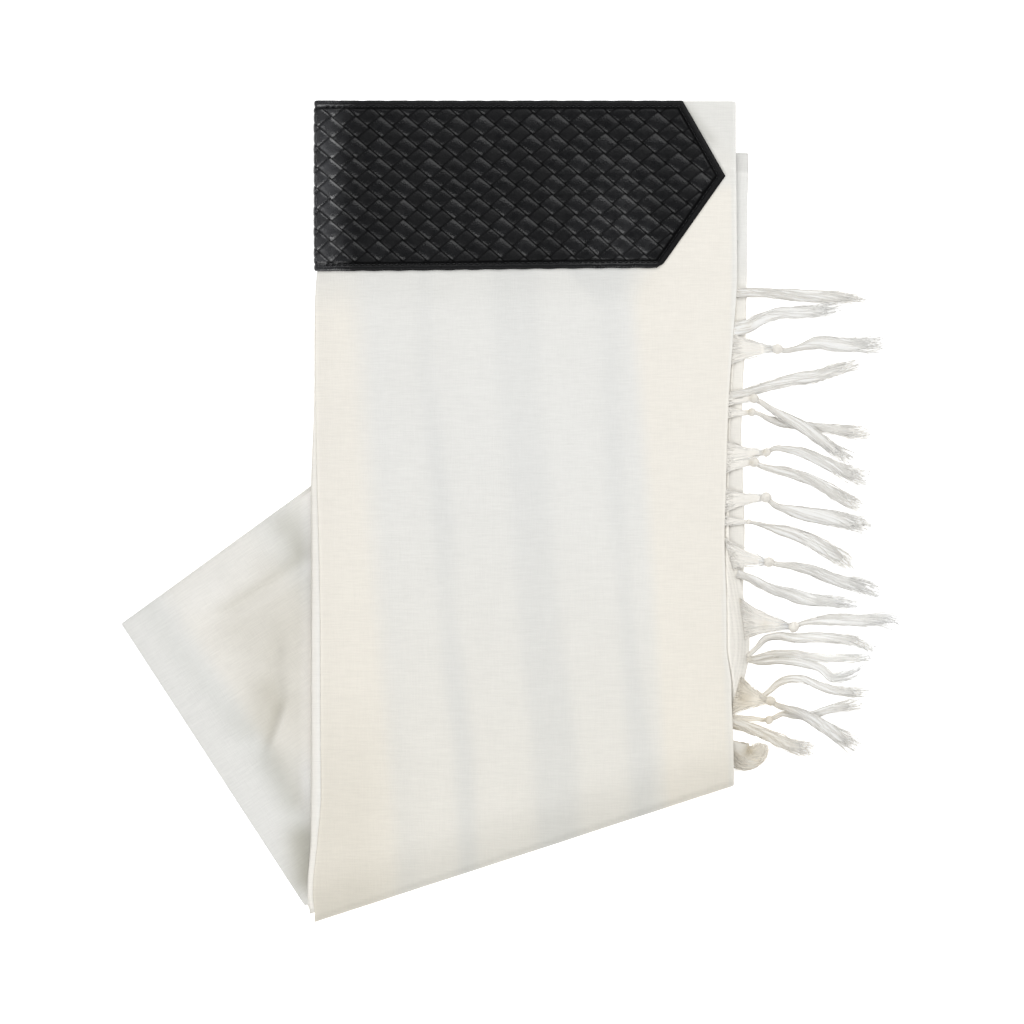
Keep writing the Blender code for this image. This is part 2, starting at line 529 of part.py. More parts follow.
def tassel(name, row, finish, collection):
    """A tassel: a flat fan from the cloth's end to its knot, and strands that grow from its far side."""
    around = np.arange(STRANDS) * 2 * math.pi / STRANDS
    knot = np.array((row.knot_x, row.knot_y))
    root = np.array((edge_at(RIGHT_EDGE, "fringe", row.root) + GAP, row.root))
    route = np.array((knot, (row.x1, row.y1), (row.x2, row.y2), (row.tip_x, row.tip_y)))
    ahead = (route[1] - route[0]) / np.linalg.norm(route[1] - route[0])
    fan_run = knot - root
    waist = max(0.9, row.knot_r * 0.42)
    # Head sections: share of the way to the knot, half width across, half thickness
    gather = max(0.0, 1.0 - row.knot_r * 1.1 / np.linalg.norm(fan_run))
    sections = [(0.0, row.fan / 2, 0.4)]
    for share in (0.25, 0.5, 0.75):
        width = row.fan / 2 + (waist - row.fan / 2) * share**0.8
        sections.append((share * gather, width, 0.4 + (waist - 0.4) * share))
    sections.append((gather, waist, waist))

    points, faces = [], []
    for share, half, thick in sections:
        centre = root + fan_run * share
        across = half * np.cos(around)
        x = centre[0] + 0.0 * across
        y = centre[1] + across
        if share == 0.0:
            x = edge_at(RIGHT_EDGE, "fringe", y) + GAP
        z = ground(centre[0], centre[1]) + thick + 0.05
        points.append(np.stack((x, y, z + thick * np.sin(around)), -1))
    # The knot and its neck are turned to face along the strands
    side = np.array((-ahead[1], ahead[0]))
    knot_z = ground(knot[0] - row.knot_r * 0.4, knot[1]) + row.knot_r + 0.05
    for shift, radius in ((-0.55, 0.8), (0.1, 1.0), (0.7, 0.72)):
        centre = knot + ahead * row.knot_r * shift
        ring = centre + np.outer(np.cos(around), side) * row.knot_r * radius
        points.append(with_height(ring, knot_z + row.knot_r * radius * 0.94 * np.sin(around)))
    rings = len(points)
    for ring in range(rings - 1):
        first = ring * STRANDS + np.arange(STRANDS)
        faces.extend(ring_faces(first, first + STRANDS))
    faces.append(np.arange(STRANDS)[::-1])
    neck = knot + ahead * row.knot_r * 0.95
    points.append(np.array([[neck[0], neck[1], knot_z]]))
    middle = rings * STRANDS
    count = middle + 1

    # Strands: each starts as one facet of the neck, and lies at its own place round the lock
    stations = np.array((0.1, 0.26, 0.48, 0.74, 1.0))
    lifts = np.interp(stations, (0.0, 0.3, 0.68, 1.0), (0.0, row.lift1, row.lift2, 0.0))
    for strand in range(STRANDS):
        angle = (strand + 0.5) * 2 * math.pi / STRANDS
        length = 1.0 - 0.07 * ((strand * 5) % 8) / 7
        line = bend(route, stations * length)
        ahead_of = np.gradient(line, axis=0)
        ahead_of /= np.linalg.norm(ahead_of, axis=1, keepdims=True)
        aside = np.stack((-ahead_of[:, 1], ahead_of[:, 0]), -1)
        widths = (row.knot_r * 0.75, row.width / 2, row.width / 2, row.spread / 2)
        half = np.interp(stations, (0.0, 0.22, 0.7, 1.0), widths)
        wave = 0.25 * np.sin(7.0 * stations + 1.7 * strand)
        centre = line + aside * (half * math.cos(angle) + wave * abs(math.cos(angle)))[:, None]
        bottom = ground(line[:, 0], line[:, 1]) + lifts
        centre_z = bottom + 1.75 + 1.2 * math.sin(angle)
        last = (middle, (rings - 1) * STRANDS + strand, (rings - 1) * STRANDS + (strand + 1) % STRANDS)
        radii = np.array((0.5, 0.52, 0.52, 0.48, 0.2))
        for station in range(len(stations)):
            ring = []
            for turn in (angle + math.pi, angle - math.pi / 3, angle + math.pi / 3):
                place = centre[station] + aside[station] * radii[station] * math.cos(turn)
                ring.append((*place, centre_z[station] + radii[station] * math.sin(turn)))
            points.append(np.array(ring))
            here = (count, count + 1, count + 2)
            count += 3
            for corner in range(3):
                following = (corner + 1) % 3
                faces.append((last[corner], last[following], here[following], here[corner]))
            last = here
        faces.append(last)
    return add_solid(name, np.concatenate(points), faces, finish, collection)


def build():
    clear_scene()
    shawl = bpy.data.collections.new("tallit")
    bpy.context.scene.collection.children.link(shawl)
    cloth = material("woven_cloth", (0.86, 0.85, 0.81), 0.9)
    folds = material("folded_cloth", (0.80, 0.79, 0.75), 0.9)
    fringe = material("fringe_thread", (0.84, 0.82, 0.76), 0.8)
    leather = material("plaited_leather", (0.02, 0.02, 0.022), 0.4)
    hidden_layers(folds, shawl)
    front_panel(cloth, shawl)
    flap_panel(cloth, shawl)
    fringe_edge(cloth, shawl)
    neck_band(leather, shawl)
    for number, row in enumerate(TASSELS, 1):
        tassel(f"tassel_{number:02d}", row, fringe, shawl)


build()
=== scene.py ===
import math

import bpy
import numpy as np
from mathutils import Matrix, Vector


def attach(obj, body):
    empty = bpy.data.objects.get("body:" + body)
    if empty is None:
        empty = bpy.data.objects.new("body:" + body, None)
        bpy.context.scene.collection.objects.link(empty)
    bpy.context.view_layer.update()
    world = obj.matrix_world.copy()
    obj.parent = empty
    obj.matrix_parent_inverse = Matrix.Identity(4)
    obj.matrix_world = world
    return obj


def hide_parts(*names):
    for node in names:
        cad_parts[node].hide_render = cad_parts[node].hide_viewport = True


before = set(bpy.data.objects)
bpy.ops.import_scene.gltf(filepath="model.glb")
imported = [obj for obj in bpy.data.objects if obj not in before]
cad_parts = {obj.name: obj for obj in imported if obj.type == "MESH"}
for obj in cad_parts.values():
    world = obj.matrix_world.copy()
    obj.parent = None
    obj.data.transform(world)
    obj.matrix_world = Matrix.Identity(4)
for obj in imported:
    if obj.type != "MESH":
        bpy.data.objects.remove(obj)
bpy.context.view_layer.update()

# ------------------------------------------------------------------------------
# Front stretch of the shawl. Fine plain-woven cloth, two layers pressed together: folded at its left and
# right sides, laid up over the stretch turned up below it, and turned under round the slanted bottom fold.
# ------------------------------------------------------------------------------
MM = 0.001                  # a millimetre in metres: points are worked out in millimetres
HALF_LENGTH = 238.1         # from the middle to the neck edge, and to the lowest tip
CLOTH = 1.1                 # two pressed layers
STRIP_HEIGHT = 8.8          # the folded strip, where it lies on the surface
FLAP_HEIGHT = 6.2           # the stretch turned up below it
CLIMB = 44.0                # how far the strip takes to climb over it
FOLD_REACH = 5.0            # how far the slanted fold rounds out
FOOT = 0.05                 # lowest point of the folds, just off the surface
COARSE = 4                  # hidden undersides take every fourth row and column
TIP = np.array((-112.8, -HALF_LENGTH))  # the slanted fold runs from here
CORNER = np.array((129.1, -159.2))  # to here
FOLD_LINE = (CORNER - TIP) / np.linalg.norm(CORNER - TIP)
FOLD_OUT = np.array((FOLD_LINE[1], -FOLD_LINE[0]))
FLAP_OUTER = np.array((-225.9, -65.0))  # the turned-up stretch's end fold runs from here
FLAP_HIDDEN = np.array((-25.2, 77.7))  # to here, beneath the strip
BAND_WIDTH = 98.3
BAND_FOOT = HALF_LENGTH - BAND_WIDTH    # the neck band's lower edge

# Left side: height up the strip, the front cloth's fold, and the outermost fold beneath it
LEFT_SIDE = np.array((
    (238.1, -112.2, -111.5), (139.0, -112.2, -111.8), (130.0, -113.2, -113.4), (64.7, -113.0, -114.6),
    (14.0, -112.2, -116.2), (-28.0, -111.0, -116.1), (-132.5, -110.2, -116.1), (-168.5, -110.0, -116.4),
    (-191.0, -112.0, -116.6), (-224.7, -114.5, -118.0), (-238.1, -112.8, -116.0),
))
# Right side: height, the front cloth's fold, the fringed end, and the layer turned back beneath
RIGHT_SIDE = np.array((
    (238.1, 130.8, 130.8, 128.0), (207.9, 130.8, 130.8, 138.7), (175.0, 131.2, 131.4, 138.2),
    (131.0, 131.4, 131.6, 137.9), (99.5, 129.1, 130.4, 137.2), (64.7, 126.7, 128.2, 135.4),
    (47.0, 126.0, 127.4, 134.9), (18.0, 125.2, 126.6, 135.7), (-16.5, 124.3, 127.0, 136.6),
    (-36.0, 124.8, 132.5, 136.0), (-57.0, 125.5, 136.4, 135.5), (-80.0, 125.6, 138.6, 135.5),
    (-99.0, 128.3, 135.2, 132.5), (-112.0, 128.5, 131.0, 129.0), (-121.0, 128.9, 128.2, 127.6),
    (-134.0, 129.4, 128.2, 127.4), (-159.2, 129.8, 128.2, 127.4),
))
FRONT, LAYERS = (LEFT_SIDE, 1), (LEFT_SIDE, 2)
FRONT_RIGHT, FRINGED, TURNED_BACK = (RIGHT_SIDE, 1), (RIGHT_SIDE, 2), (RIGHT_SIDE, 3)


def cubic(start, rise, into, out_of, t):
    """A cubic that rises from start as t runs from 0 to 1, with slopes into and out_of at its ends."""
    return start + t * into + t**2 * (3 * rise - 2 * into - out_of) + t**3 * (into + out_of - 2 * rise)


def edge_at(side, y):
    """Place of a side at the heights y: a cubic through the table's rows, its slopes those of their
    neighbours, held back where they would swing past the rows on either side."""
    table, column = side
    knots, values = table[::-1, 0], table[::-1, column]
    slopes = np.gradient(values, knots)
    y = np.clip(y, knots[0], knots[-1])
    start = np.clip(np.searchsorted(knots, y) - 1, 0, len(knots) - 2)
    span = knots[start + 1] - knots[start]
    t = (y - knots[start]) / span
    rise = values[start + 1] - values[start]
    limit = 3.0 * np.abs(rise)
    into = np.clip(slopes[start] * span, -limit, limit)
    out_of = np.clip(slopes[start + 1] * span, -limit, limit)
    return cubic(values[start], rise, into, out_of, t)


def smooth_step(distance, start, end):
    """0 before start, 1 after end, and 3t^2 - 2t^3 between them."""
    t = np.clip((distance - start) / (end - start), 0.0, 1.0)
    return t * t * (3.0 - 2.0 * t)


def side_of(plan, start, end):
    """Distance of plan points to the right of a line: the cross product with its direction."""
    along = (end - start) / np.linalg.norm(end - start)
    away = plan[..., :2] - start
    return away[..., 0] * along[1] - away[..., 1] * along[0]


def pile_height(plan):
    """Top of the folded strip: level on the surface, raised where it lies over the turned-up stretch."""
    over_side = smooth_step(side_of(plan, FLAP_HIDDEN, CORNER), -CLIMB, CLIMB / 5)
    over_end = smooth_step(side_of(plan, FLAP_OUTER, FLAP_HIDDEN), -CLIMB, CLIMB / 5)
    return STRIP_HEIGHT + FLAP_HEIGHT * over_side * over_end


def with_height(plan, height):
    """Plan points with their heights."""
    return np.concatenate((plan, np.broadcast_to(height, plan.shape[:-1])[..., None]), -1)


def past(side, plan):
    """How far plan points lie to the right of a side."""
    return plan[..., 0] - edge_at(side, plan[..., 1])


def side_points(side, y, shift=0.0):
    """A side's points at the heights y, shifted across."""
    return np.stack((edge_at(side, y) + shift, y), -1)


def across_rows(left, right, columns):
    """A grid whose rows run straight from the left points to the right ones."""
    share = np.linspace(0.0, 1.0, columns)[None, :, None]
    return left[:, None] + (right - left)[:, None] * share


def grid_quads(rows, columns):
    """The four-sided faces of a grid of points."""
    index = np.arange(rows * columns).reshape(rows, columns)
    return np.stack((index[:-1, :-1], index[1:, :-1], index[1:, 1:], index[:-1, 1:]), -1).reshape(-1, 4)


def outline_order(rows, columns):
    """Indices of a grid's outer points, once round."""
    index = np.arange(rows * columns).reshape(rows, columns)
    return np.concatenate((index[0], index[1:, -1], index[-1, -2::-1], index[-2:0:-1, 0]))


def ring_quads(first, second):
    """Faces between two rings that have as many points."""
    return np.stack((first, np.roll(first, -1), np.roll(second, -1), second), -1)


def unit(vectors):
    """The vectors at length 1."""
    return vectors / np.maximum(np.linalg.norm(vectors, axis=-1, keepdims=True), 1e-9)


def surface_normals(grid):
    """Normals of a grid surface: the cross product of its slopes down the rows and across them."""
    return unit(np.cross(np.gradient(grid, axis=0), np.gradient(grid, axis=1)))


def two_faced(outer, inner, turns=7, roundness=1.0):
    """A closed sheet from its outer and inner grids. Round its edge the outer grid turns over by half a
    circle, pushed out in the sheet's own plane, square to the edge, by half the gap between them. The hidden
    inner grid is taken at every fourth row and column, and fans of triangles join it to the edge."""
    rows, columns = outer.shape[:2]
    down, across = unit(np.gradient(outer, axis=0)), unit(np.gradient(outer, axis=1))
    push = np.zeros_like(outer)
    push[0] -= down[0]
    push[-1] += down[-1]
    push[:, 0] -= across[:, 0]
    push[:, -1] += across[:, -1]
    edge = outline_order(rows, columns)
    top, under = outer.reshape(-1, 3), inner.reshape(-1, 3)
    out = unit(push.reshape(-1, 3)[edge])
    reach = np.linalg.norm(top[edge] - under[edge], axis=-1, keepdims=True) / 2 * roundness
    points, quads = [top], [grid_quads(rows, columns)]
    ring, count = edge, len(top)
    for angle in np.linspace(0.0, math.pi, turns + 1)[1:]:
        middle = (top[edge] + under[edge]) / 2 + (top[edge] - under[edge]) / 2 * math.cos(angle)
        points.append(middle + out * reach * math.sin(angle))
        following = count + np.arange(len(edge))
        quads.append(ring_quads(ring, following))
        ring, count = following, count + len(edge)
    coarse = inner[::COARSE, ::COARSE]
    coarse_edge = outline_order(*coarse.shape[:2])
    index = np.full(coarse[..., 0].size, -1)
    index[coarse_edge] = ring[::COARSE]
    inside = np.setdiff1d(np.arange(index.size), coarse_edge)
    index[inside] = count + np.arange(len(inside))
    points.append(coarse.reshape(-1, 3)[inside])
    under_quads = index[grid_quads(*coarse.shape[:2])[:, ::-1]]
    # Where the inner grid meets the edge each of its sides spans four of the edge's: those are filled by a
    # fan
    legs = ring.reshape(-1, COARSE)
    closing = np.concatenate((legs, np.roll(legs, -1, axis=0)[:, :1]), axis=1)
    fans = np.concatenate([closing[:, (0, part, part + 1)] for part in range(1, COARSE)])
    return np.concatenate(points), np.concatenate(quads + [under_quads]), fans


def sheet_tones(tones, turns=7):
    """Tones of a two-faced sheet's points: its grid's, the edge's round the rim, every fourth beneath."""
    rows, columns = tones.shape[:2]
    flat, edge = tones.reshape(-1, 3), outline_order(rows, columns)
    coarse = tones[::COARSE, ::COARSE]
    inside = np.setdiff1d(np.arange(coarse[..., 0].size), outline_order(*coarse.shape[:2]))
    return np.concatenate([flat] + [flat[edge]] * turns + [coarse.reshape(-1, 3)[inside]])


def add_piece(name, points, quads, finish, tones, tris=None):
    """A smooth-shaded piece from points in millimetres, four-sided and three-sided faces, and tones."""
    parts = [quads] if tris is None else [quads, tris]
    corners = np.concatenate([part.ravel() for part in parts]).astype(np.int32)
    sizes = np.concatenate([np.full(len(part), part.shape[1]) for part in parts])
    starts = np.concatenate(((0,), np.cumsum(sizes)[:-1])).astype(np.int32)
    mesh = bpy.data.meshes.new(name)
    mesh.vertices.add(len(points))
    mesh.vertices.foreach_set("co", (np.asarray(points) * MM).astype(np.float32).ravel())
    mesh.loops.add(len(corners))
    mesh.loops.foreach_set("vertex_index", corners)
    mesh.polygons.add(len(starts))
    mesh.polygons.foreach_set("loop_start", starts)
    mesh.update(calc_edges=True)
    mesh.shade_smooth()
    tone = mesh.attributes.new("tone", "FLOAT_COLOR", "POINT")
    colours = np.column_stack((tones, np.ones(len(tones)))).astype(np.float32)
    tone.data.foreach_set("color", colours.ravel())
    mesh.materials.append(finish)
    piece = bpy.data.objects.new(name, mesh)
    bpy.context.scene.collection.objects.link(piece)
    return piece


def add_sheet(name, outer, inner, tones, finish, turns=7, roundness=1.0):
    """A two-faced sheet as a piece, from its two grids and the tones of the outer one."""
    points, quads, tris = two_faced(outer, inner, turns, roundness)
    return add_piece(name, points, quads, finish, sheet_tones(tones, turns), tris)


def waves(plan, length, seed, count=7):
    """Soft uneven relief from -1 to 1: a sum of sine waves in scattered directions, about `length` long."""
    draw = np.random.default_rng(seed)
    total = np.zeros(plan.shape[:-1])
    for _ in range(count):
        angle, phase = draw.uniform(0, math.pi), draw.uniform(0, 2 * math.pi)
        stretch = draw.uniform(0.7, 1.6)
        run = plan[..., 0] * math.cos(angle) + plan[..., 1] * math.sin(angle)
        total += np.sin(run * 2 * math.pi / (length * stretch) + phase)
    return total / count


def crease(plan, path, width, height, step=0.0):
    """A soft ridge, or a trough where height is below 0, along a path, and fading at both its ends. Its
    section is a bell curve; step makes one side of it stand higher than the other, over three widths."""
    path = np.asarray(path, float)
    best = np.full(plan.shape[:-1], 1e9)
    side = np.zeros(plan.shape[:-1])
    place = np.zeros(plan.shape[:-1])
    lengths = np.linalg.norm(np.diff(path, axis=0), axis=1)
    before = np.concatenate(((0.0,), np.cumsum(lengths)))
    for part, (start, end) in enumerate(zip(path[:-1], path[1:])):
        along = (end - start) / lengths[part]
        away = plan[..., :2] - start
        run = np.clip(away @ along, 0.0, lengths[part])
        off = away - run[..., None] * along
        distance = np.linalg.norm(off, axis=-1)
        nearer = distance < best
        best = np.where(nearer, distance, best)
        side = np.where(nearer, side_of(plan, start, end), side)
        place = np.where(nearer, (before[part] + run) / before[-1], place)
    fade = smooth_step(place, 0.0, 0.3) * (1.0 - smooth_step(place, 0.7, 1.0))
    bell = np.exp(-((best / width) ** 2))
    shoulder = np.tanh(side / width) * np.exp(-((best / (3.0 * width)) ** 2))
    return fade * (height * bell + step * shoulder)


def creases(plan, rows):
    """The sum of several creases, from rows of path, width, height and, where there is one, step."""
    return sum(crease(plan, *row) for row in rows)


def turned_under(row, outward, count):
    """Rows that go on from a grid's last row by half a circle, out by outward and down to the surface."""
    rows = []
    for angle in np.linspace(0.0, math.pi, count + 1)[1:]:
        height = FOOT + (row[:, 2] - FOOT) * (1 + math.cos(angle)) / 2
        rows.append(with_height(row[:, :2] + outward * math.sin(angle), height))
    return np.stack(rows)


def set_inputs(made, node, inputs):
    """Each input of a material's node set to a value, or wired to another node's output."""
    for socket, value in inputs.items():
        if isinstance(value, bpy.types.NodeSocket):
            made.node_tree.links.new(value, node.inputs[socket])
        else:
            node.inputs[socket].default_value = value


def shader_node(made, kind, inputs, output=0, operation=None):
    """One output of a new node in a material, with its inputs and operation set."""
    node = made.node_tree.nodes.new("ShaderNode" + kind)
    if operation:
        node.operation = operation
    set_inputs(made, node, inputs)
    return node.outputs[output]


def material(name):
    """A new material, its shader, the places on the piece, and a node with the piece's own tone."""
    made = bpy.data.materials.new(name)
    made.use_nodes = True
    tone = made.node_tree.nodes.new("ShaderNodeAttribute")
    tone.attribute_name = "tone"
    return made, made.node_tree.nodes["Principled BSDF"], shader_node(made, "TexCoord", {}, "Object"), tone


def woven_cloth(name, turn, slub=1.0):
    """Off-white plain weave. Its colour is the piece's own tone, made uneven by threads both ways: noise
    stretched along them, which also lifts the surface. turn is the crossing threads' angle, in degrees."""
    made, shader, place, tone = material(name)
    turned = shader_node(made, "Mapping", {"Vector": place, "Rotation": (0.0, 0.0, -math.radians(turn))})
    colour = tone.outputs["Color"]
    lift = None
    # Threads a metre along and across, how much they show, and how much they lift
    for along, across, shows, lifts in (
        (120.0, 1600.0, 0.032 * slub, 0.5), (60.0, 900.0, 0.014 * slub, 0.25), (1600.0, 110.0, 0.02, 0.5),
    ):
        stretched = shader_node(made, "Mapping", {"Vector": turned, "Scale": (along, across, 30.0)})
        noise = {"Vector": stretched, "Scale": 1.0, "Detail": 2.0, "Roughness": 0.6}
        thread = shader_node(made, "TexNoise", noise, "Fac")
        spread = {"From Min": 0.25, "From Max": 0.75, "To Min": 1.0 - shows, "To Max": 1.0 + shows}
        share = shader_node(made, "MapRange", {"Value": thread, **spread})
        colour = shader_node(made, "VectorMath", {0: colour, "Scale": share}, operation="SCALE")
        part = shader_node(made, "Math", {0: thread, 1: lifts}, operation="MULTIPLY")
        lift = part if lift is None else shader_node(made, "Math", {0: lift, 1: part})
    relief = shader_node(made, "Bump", {"Height": lift, "Distance": 0.0004, "Strength": 0.55})
    set_inputs(made, shader, {
        "Base Color": colour, "Normal": relief, "Roughness": 0.88, "Specular IOR Level": 0.25,
        "Sheen Weight": 0.08, "Sheen Roughness": 0.45,
    })
    return made


# Yarn colours, and the soft stripes: rows of (height up the strip, middle, half width, strength)
NEUTRAL = np.array((0.763, 0.760, 0.734))
CREAM = np.array((0.816, 0.785, 0.720))
GREY = np.array((0.716, 0.718, 0.700))
BRIGHTEST = 0.93            # no stretch but the front is paler
NARROW_LEFT = np.array((
    (134.0, -50.2, 5.0, 0.45), (81.5, -49.0, 5.5, 0.45), (32.0, -42.9, 4.6, 0.9), (-5.0, -39.2, 6.4, 0.9),
    (-54.0, -36.8, 5.2, 0.6), (-91.0, -33.1, 6.0, 0.9), (-140.0, -27.0, 5.6, 1.0),
    (-200.0, -24.7, 5.4, 1.0),
))
WIDE_MIDDLE = np.array((
    (134.0, 2.0, 14.0, 0.8), (118.0, 2.6, 13.6, 0.8), (69.0, 4.4, 12.0, 0.7), (20.0, 10.6, 11.6, 0.9),
    (-29.0, 13.6, 11.6, 0.8), (-79.0, 18.3, 12.2, 0.9), (-127.0, 24.7, 13.0, 1.0),
    (-200.0, 28.8, 12.6, 1.0),
))
NARROW_RIGHT = np.array((
    (140.0, 50.0, 17.0, 1.0), (128.0, 54.0, 10.0, 0.9), (118.0, 57.7, 6.6, 0.5), (56.6, 59.2, 5.4, 0.75),
    (8.0, 60.9, 5.6, 0.75), (-41.0, 65.8, 4.6, 0.6), (-91.0, 70.2, 5.4, 0.9), (-140.0, 75.7, 7.2, 1.0),
    (-200.0, 78.0, 7.4, 1.0),
))
FAINT_LEFT = np.array(((134.0, -79.0, 4.0, 0.0), (-40.0, -73.5, 5.0, 0.2), (-207.0, -61.2, 6.0, 0.45)))


def stripe(across, along, rows, softness=1.7):
    """How much of a stripe's grey shows: 1 inside its half width and 0 outside, with an S-shaped edge."""
    middle, half, strength = (np.interp(along, rows[::-1, 0], rows[::-1, part]) for part in (1, 2, 3))
    return strength / (1.0 + np.exp(np.clip((np.abs(across - middle) - half) / softness, -30.0, 30.0)))


def mixed(start, end, share):
    """Colour between two, by share."""
    return start + (end - start) * share[..., None]


def strip_top(plan):
    """Top of the front stretch. Handled cloth: broad soft waves, a few pressed-in lines, and shoulders that
    fall away to the folds at its sides, further at the right where fewer layers lie beneath it. It is level
    under the neck band, but rounded down to the left fold, which the band goes round."""
    from_left, from_right = past(FRONT, plan), -past(FRONT_RIGHT, plan)
    under_band = 1.0 - smooth_step(BAND_FOOT - plan[..., 1], 0.0, 26.0)
    at_band = 1.0 - smooth_step(BAND_FOOT - plan[..., 1], -4.0, 14.0)
    above_fold = smooth_step(np.abs(side_of(plan, TIP, CORNER)), 4.0, 30.0)
    relief = above_fold * (0.55 * waves(plan * (1.0, 0.55), 74.0, 3) + 0.22 * waves(plan, 31.0, 8))
    relief += creases(plan, (
        (((-92.0, -216.0), (-76.0, -200.0), (-60.0, -178.0), (-48.0, -150.0)), 5.5, -0.55, 0.3),
        (((-46.0, -91.0), (-18.0, -90.0), (18.0, -91.5)), 1.6, -0.16),
        (((-98.0, 100.0), (-90.0, 20.0), (-94.0, -80.0), (-88.0, -150.0)), 9.0, 0.3),
        (((-42.0, 95.0), (-24.0, 52.0), (-14.0, 8.0)), 9.0, -0.35),
        (((40.0, -30.0), (64.0, -96.0), (96.0, -140.0)), 10.0, -0.4),
        (((96.0, 96.0), (104.0, 30.0), (98.0, -60.0)), 8.0, 0.32),
        (((-10.0, -110.0), (10.0, -150.0), (8.0, -186.0)), 8.0, 0.32),
    ))
    shoulders = 0.55 * (1.0 - smooth_step(from_left, 0.0, 9.0))
    shoulders += 0.3 * (1.0 - smooth_step(from_right, 0.0, 7.0))
    thinning = 2.0 * (1.0 - smooth_step(from_right, 0.0, 34.0)) ** 1.5
    below_tip = smooth_step(plan[..., 1], 238.0, 150.0)
    round_fold = 2.8 * np.clip(1.0 - from_left / 24.0, 0.0, 1.1) ** 2
    round_fold -= 0.8 * smooth_step(from_left, 10.0, 44.0)
    rolling = 1.9 * (1.0 - smooth_step(-side_of(plan, TIP, CORNER), 4.0, 32.0)) ** 1.5
    height = pile_height(plan) + (relief - shoulders) * (1.0 - under_band) - rolling
    # The band presses the cloth down along its lower edge, most of all towards its point
    pressed = smooth_step(-plan[..., 1], -178.0, -141.0) * smooth_step(plan[..., 1], 110.0, 137.0)
    sag = pressed * (0.3 + 1.3 * np.exp(-(((plan[..., 0] - 60.0) / 34.0) ** 2)))
    return height - thinning * (0.35 + 0.65 * below_tip) - round_fold * at_band - sag


FRONT_ROWS, FRONT_TURN_ROWS, FRONT_COLUMNS = 236, 21, 149
neck_edge = HALF_LENGTH - CLOTH / 2
fold_foot = FOLD_REACH / FOLD_OUT[1]
left_y = np.linspace(neck_edge, TIP[1] - fold_foot, FRONT_ROWS)
right_y = np.linspace(neck_edge, CORNER[1] - fold_foot, FRONT_ROWS)
front_left = side_points(FRONT, left_y, CLOTH / 2)
front_plan = across_rows(front_left, side_points(FRONT_RIGHT, right_y, -CLOTH / 2), FRONT_COLUMNS)
front_top = with_height(front_plan, strip_top(front_plan))
bulge = 1.0 + 0.05 * waves(front_plan[-1], 46.0, 21)
fold_out = np.array((0.0, fold_foot)) * bulge[:, None]
front_outer = np.concatenate((front_top, turned_under(front_top[-1], fold_out, FRONT_TURN_ROWS)))
front_inner = front_outer - surface_normals(front_outer) * CLOTH

x, y = front_outer[..., 0], front_outer[..., 1]
# Stripes lie over one another as veils: what each leaves clear is multiplied
greyed = 1.0 - (
    (1.0 - stripe(x, y, NARROW_LEFT)) * (1.0 - stripe(x, y, WIDE_MIDDLE, 2.2))
    * (1.0 - stripe(x, y, NARROW_RIGHT)) * (1.0 - stripe(x, y, FAINT_LEFT, 3.0))
)
# Creamy outside the stripes at both sides and towards the bottom, but not at the right edge or near the neck
cream_left = 1.0 - smooth_step(x - np.interp(y, (-200.0, 134.0), (-68.0, -92.0)), -9.0, 12.0)
cream_right = smooth_step(x - np.interp(y, (-180.0, 134.0), (90.0, 68.0)), -4.0, 9.0)
pale_edge = smooth_step(x - np.interp(y, (-160.0, -60.0, 120.0), (125.0, 121.5, 127.0)), 0.0, 2.5)
warmth = smooth_step(y, 60.0, -230.0)
creamy = np.clip(np.maximum(cream_left, cream_right) * (1.0 - 0.75 * pale_edge) + 0.35 * warmth, 0.0, 1.0)
up_to_cream = np.interp(x, (74.0, 92.0, 104.0, 118.0), (95.0, 72.0, 58.0, 46.0))
softness = np.interp(x, (60.0, 104.0), (35.0, 8.0))
creamy *= 0.35 + 0.65 * smooth_step(HALF_LENGTH - y - up_to_cream, 0.0, softness)
creamy *= 1.0 - 0.8 * smooth_step(y, 196.0, 222.0)
front_tones = mixed(mixed(NEUTRAL, CREAM, creamy), GREY, greyed)
# Painted shade: darker and warmer towards the bottom, where the light falls off
front_tones = front_tones * (1.0 - warmth[..., None] * np.array((0.015, 0.028, 0.06)))
# Painted shade beside the slanted fold, at the lower left, under the band's edge and at the upper right
# corner
painted_shade = 0.125 * (1.0 - smooth_step(-side_of(front_outer, TIP, CORNER), 0.0, 36.0)) ** 1.1
lower_left = smooth_step(-x, 40.0, 70.0) * (1.0 - smooth_step(-x, 78.0, 100.0))
painted_shade += 0.02 * lower_left * smooth_step(-y, 100.0, 150.0)
painted_shade += 0.08 * smooth_step(-x, 66.0, 96.0) * smooth_step(-y, 80.0, 180.0)
painted_shade += 0.045 * smooth_step(y, 112.0, 134.0) * (1.0 - smooth_step(x, 70.0, 96.0))
painted_shade += 0.05 * smooth_step(y, 180.0, 204.0) * smooth_step(x, 80.0, 104.0)
# Painted shadow along the band's point, and a thin painted highlight just below it
painted_shade += creases(front_outer, (
    (((98.0, 240.0), (104.0, 231.0), (113.0, 219.0), (122.0, 208.5)), 3.6, 0.17),
    (((120.0, 202.5), (127.0, 200.0), (134.0, 197.5)), 1.0, -0.05),
))
front_tones = front_tones * (1.0 - painted_shade[..., None] * np.array((1.0, 1.0, 1.08)))
front_tones = front_tones * (1.0 + 0.006 * waves(front_outer, 19.0, 5))[..., None]
# Painted highlight: the very edges of its side folds are made a little paler, where they turn to the light
front_tones[:, (0, -1)] = np.minimum(front_tones[:, (0, -1)] * 1.07, 0.94)

front_cloth = woven_cloth("striped shawl cloth", 0.0)
front_stretch = add_sheet("front_stretch", front_outer, front_inner, front_tones, front_cloth)
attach(front_stretch, "root")
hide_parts("front_panel")

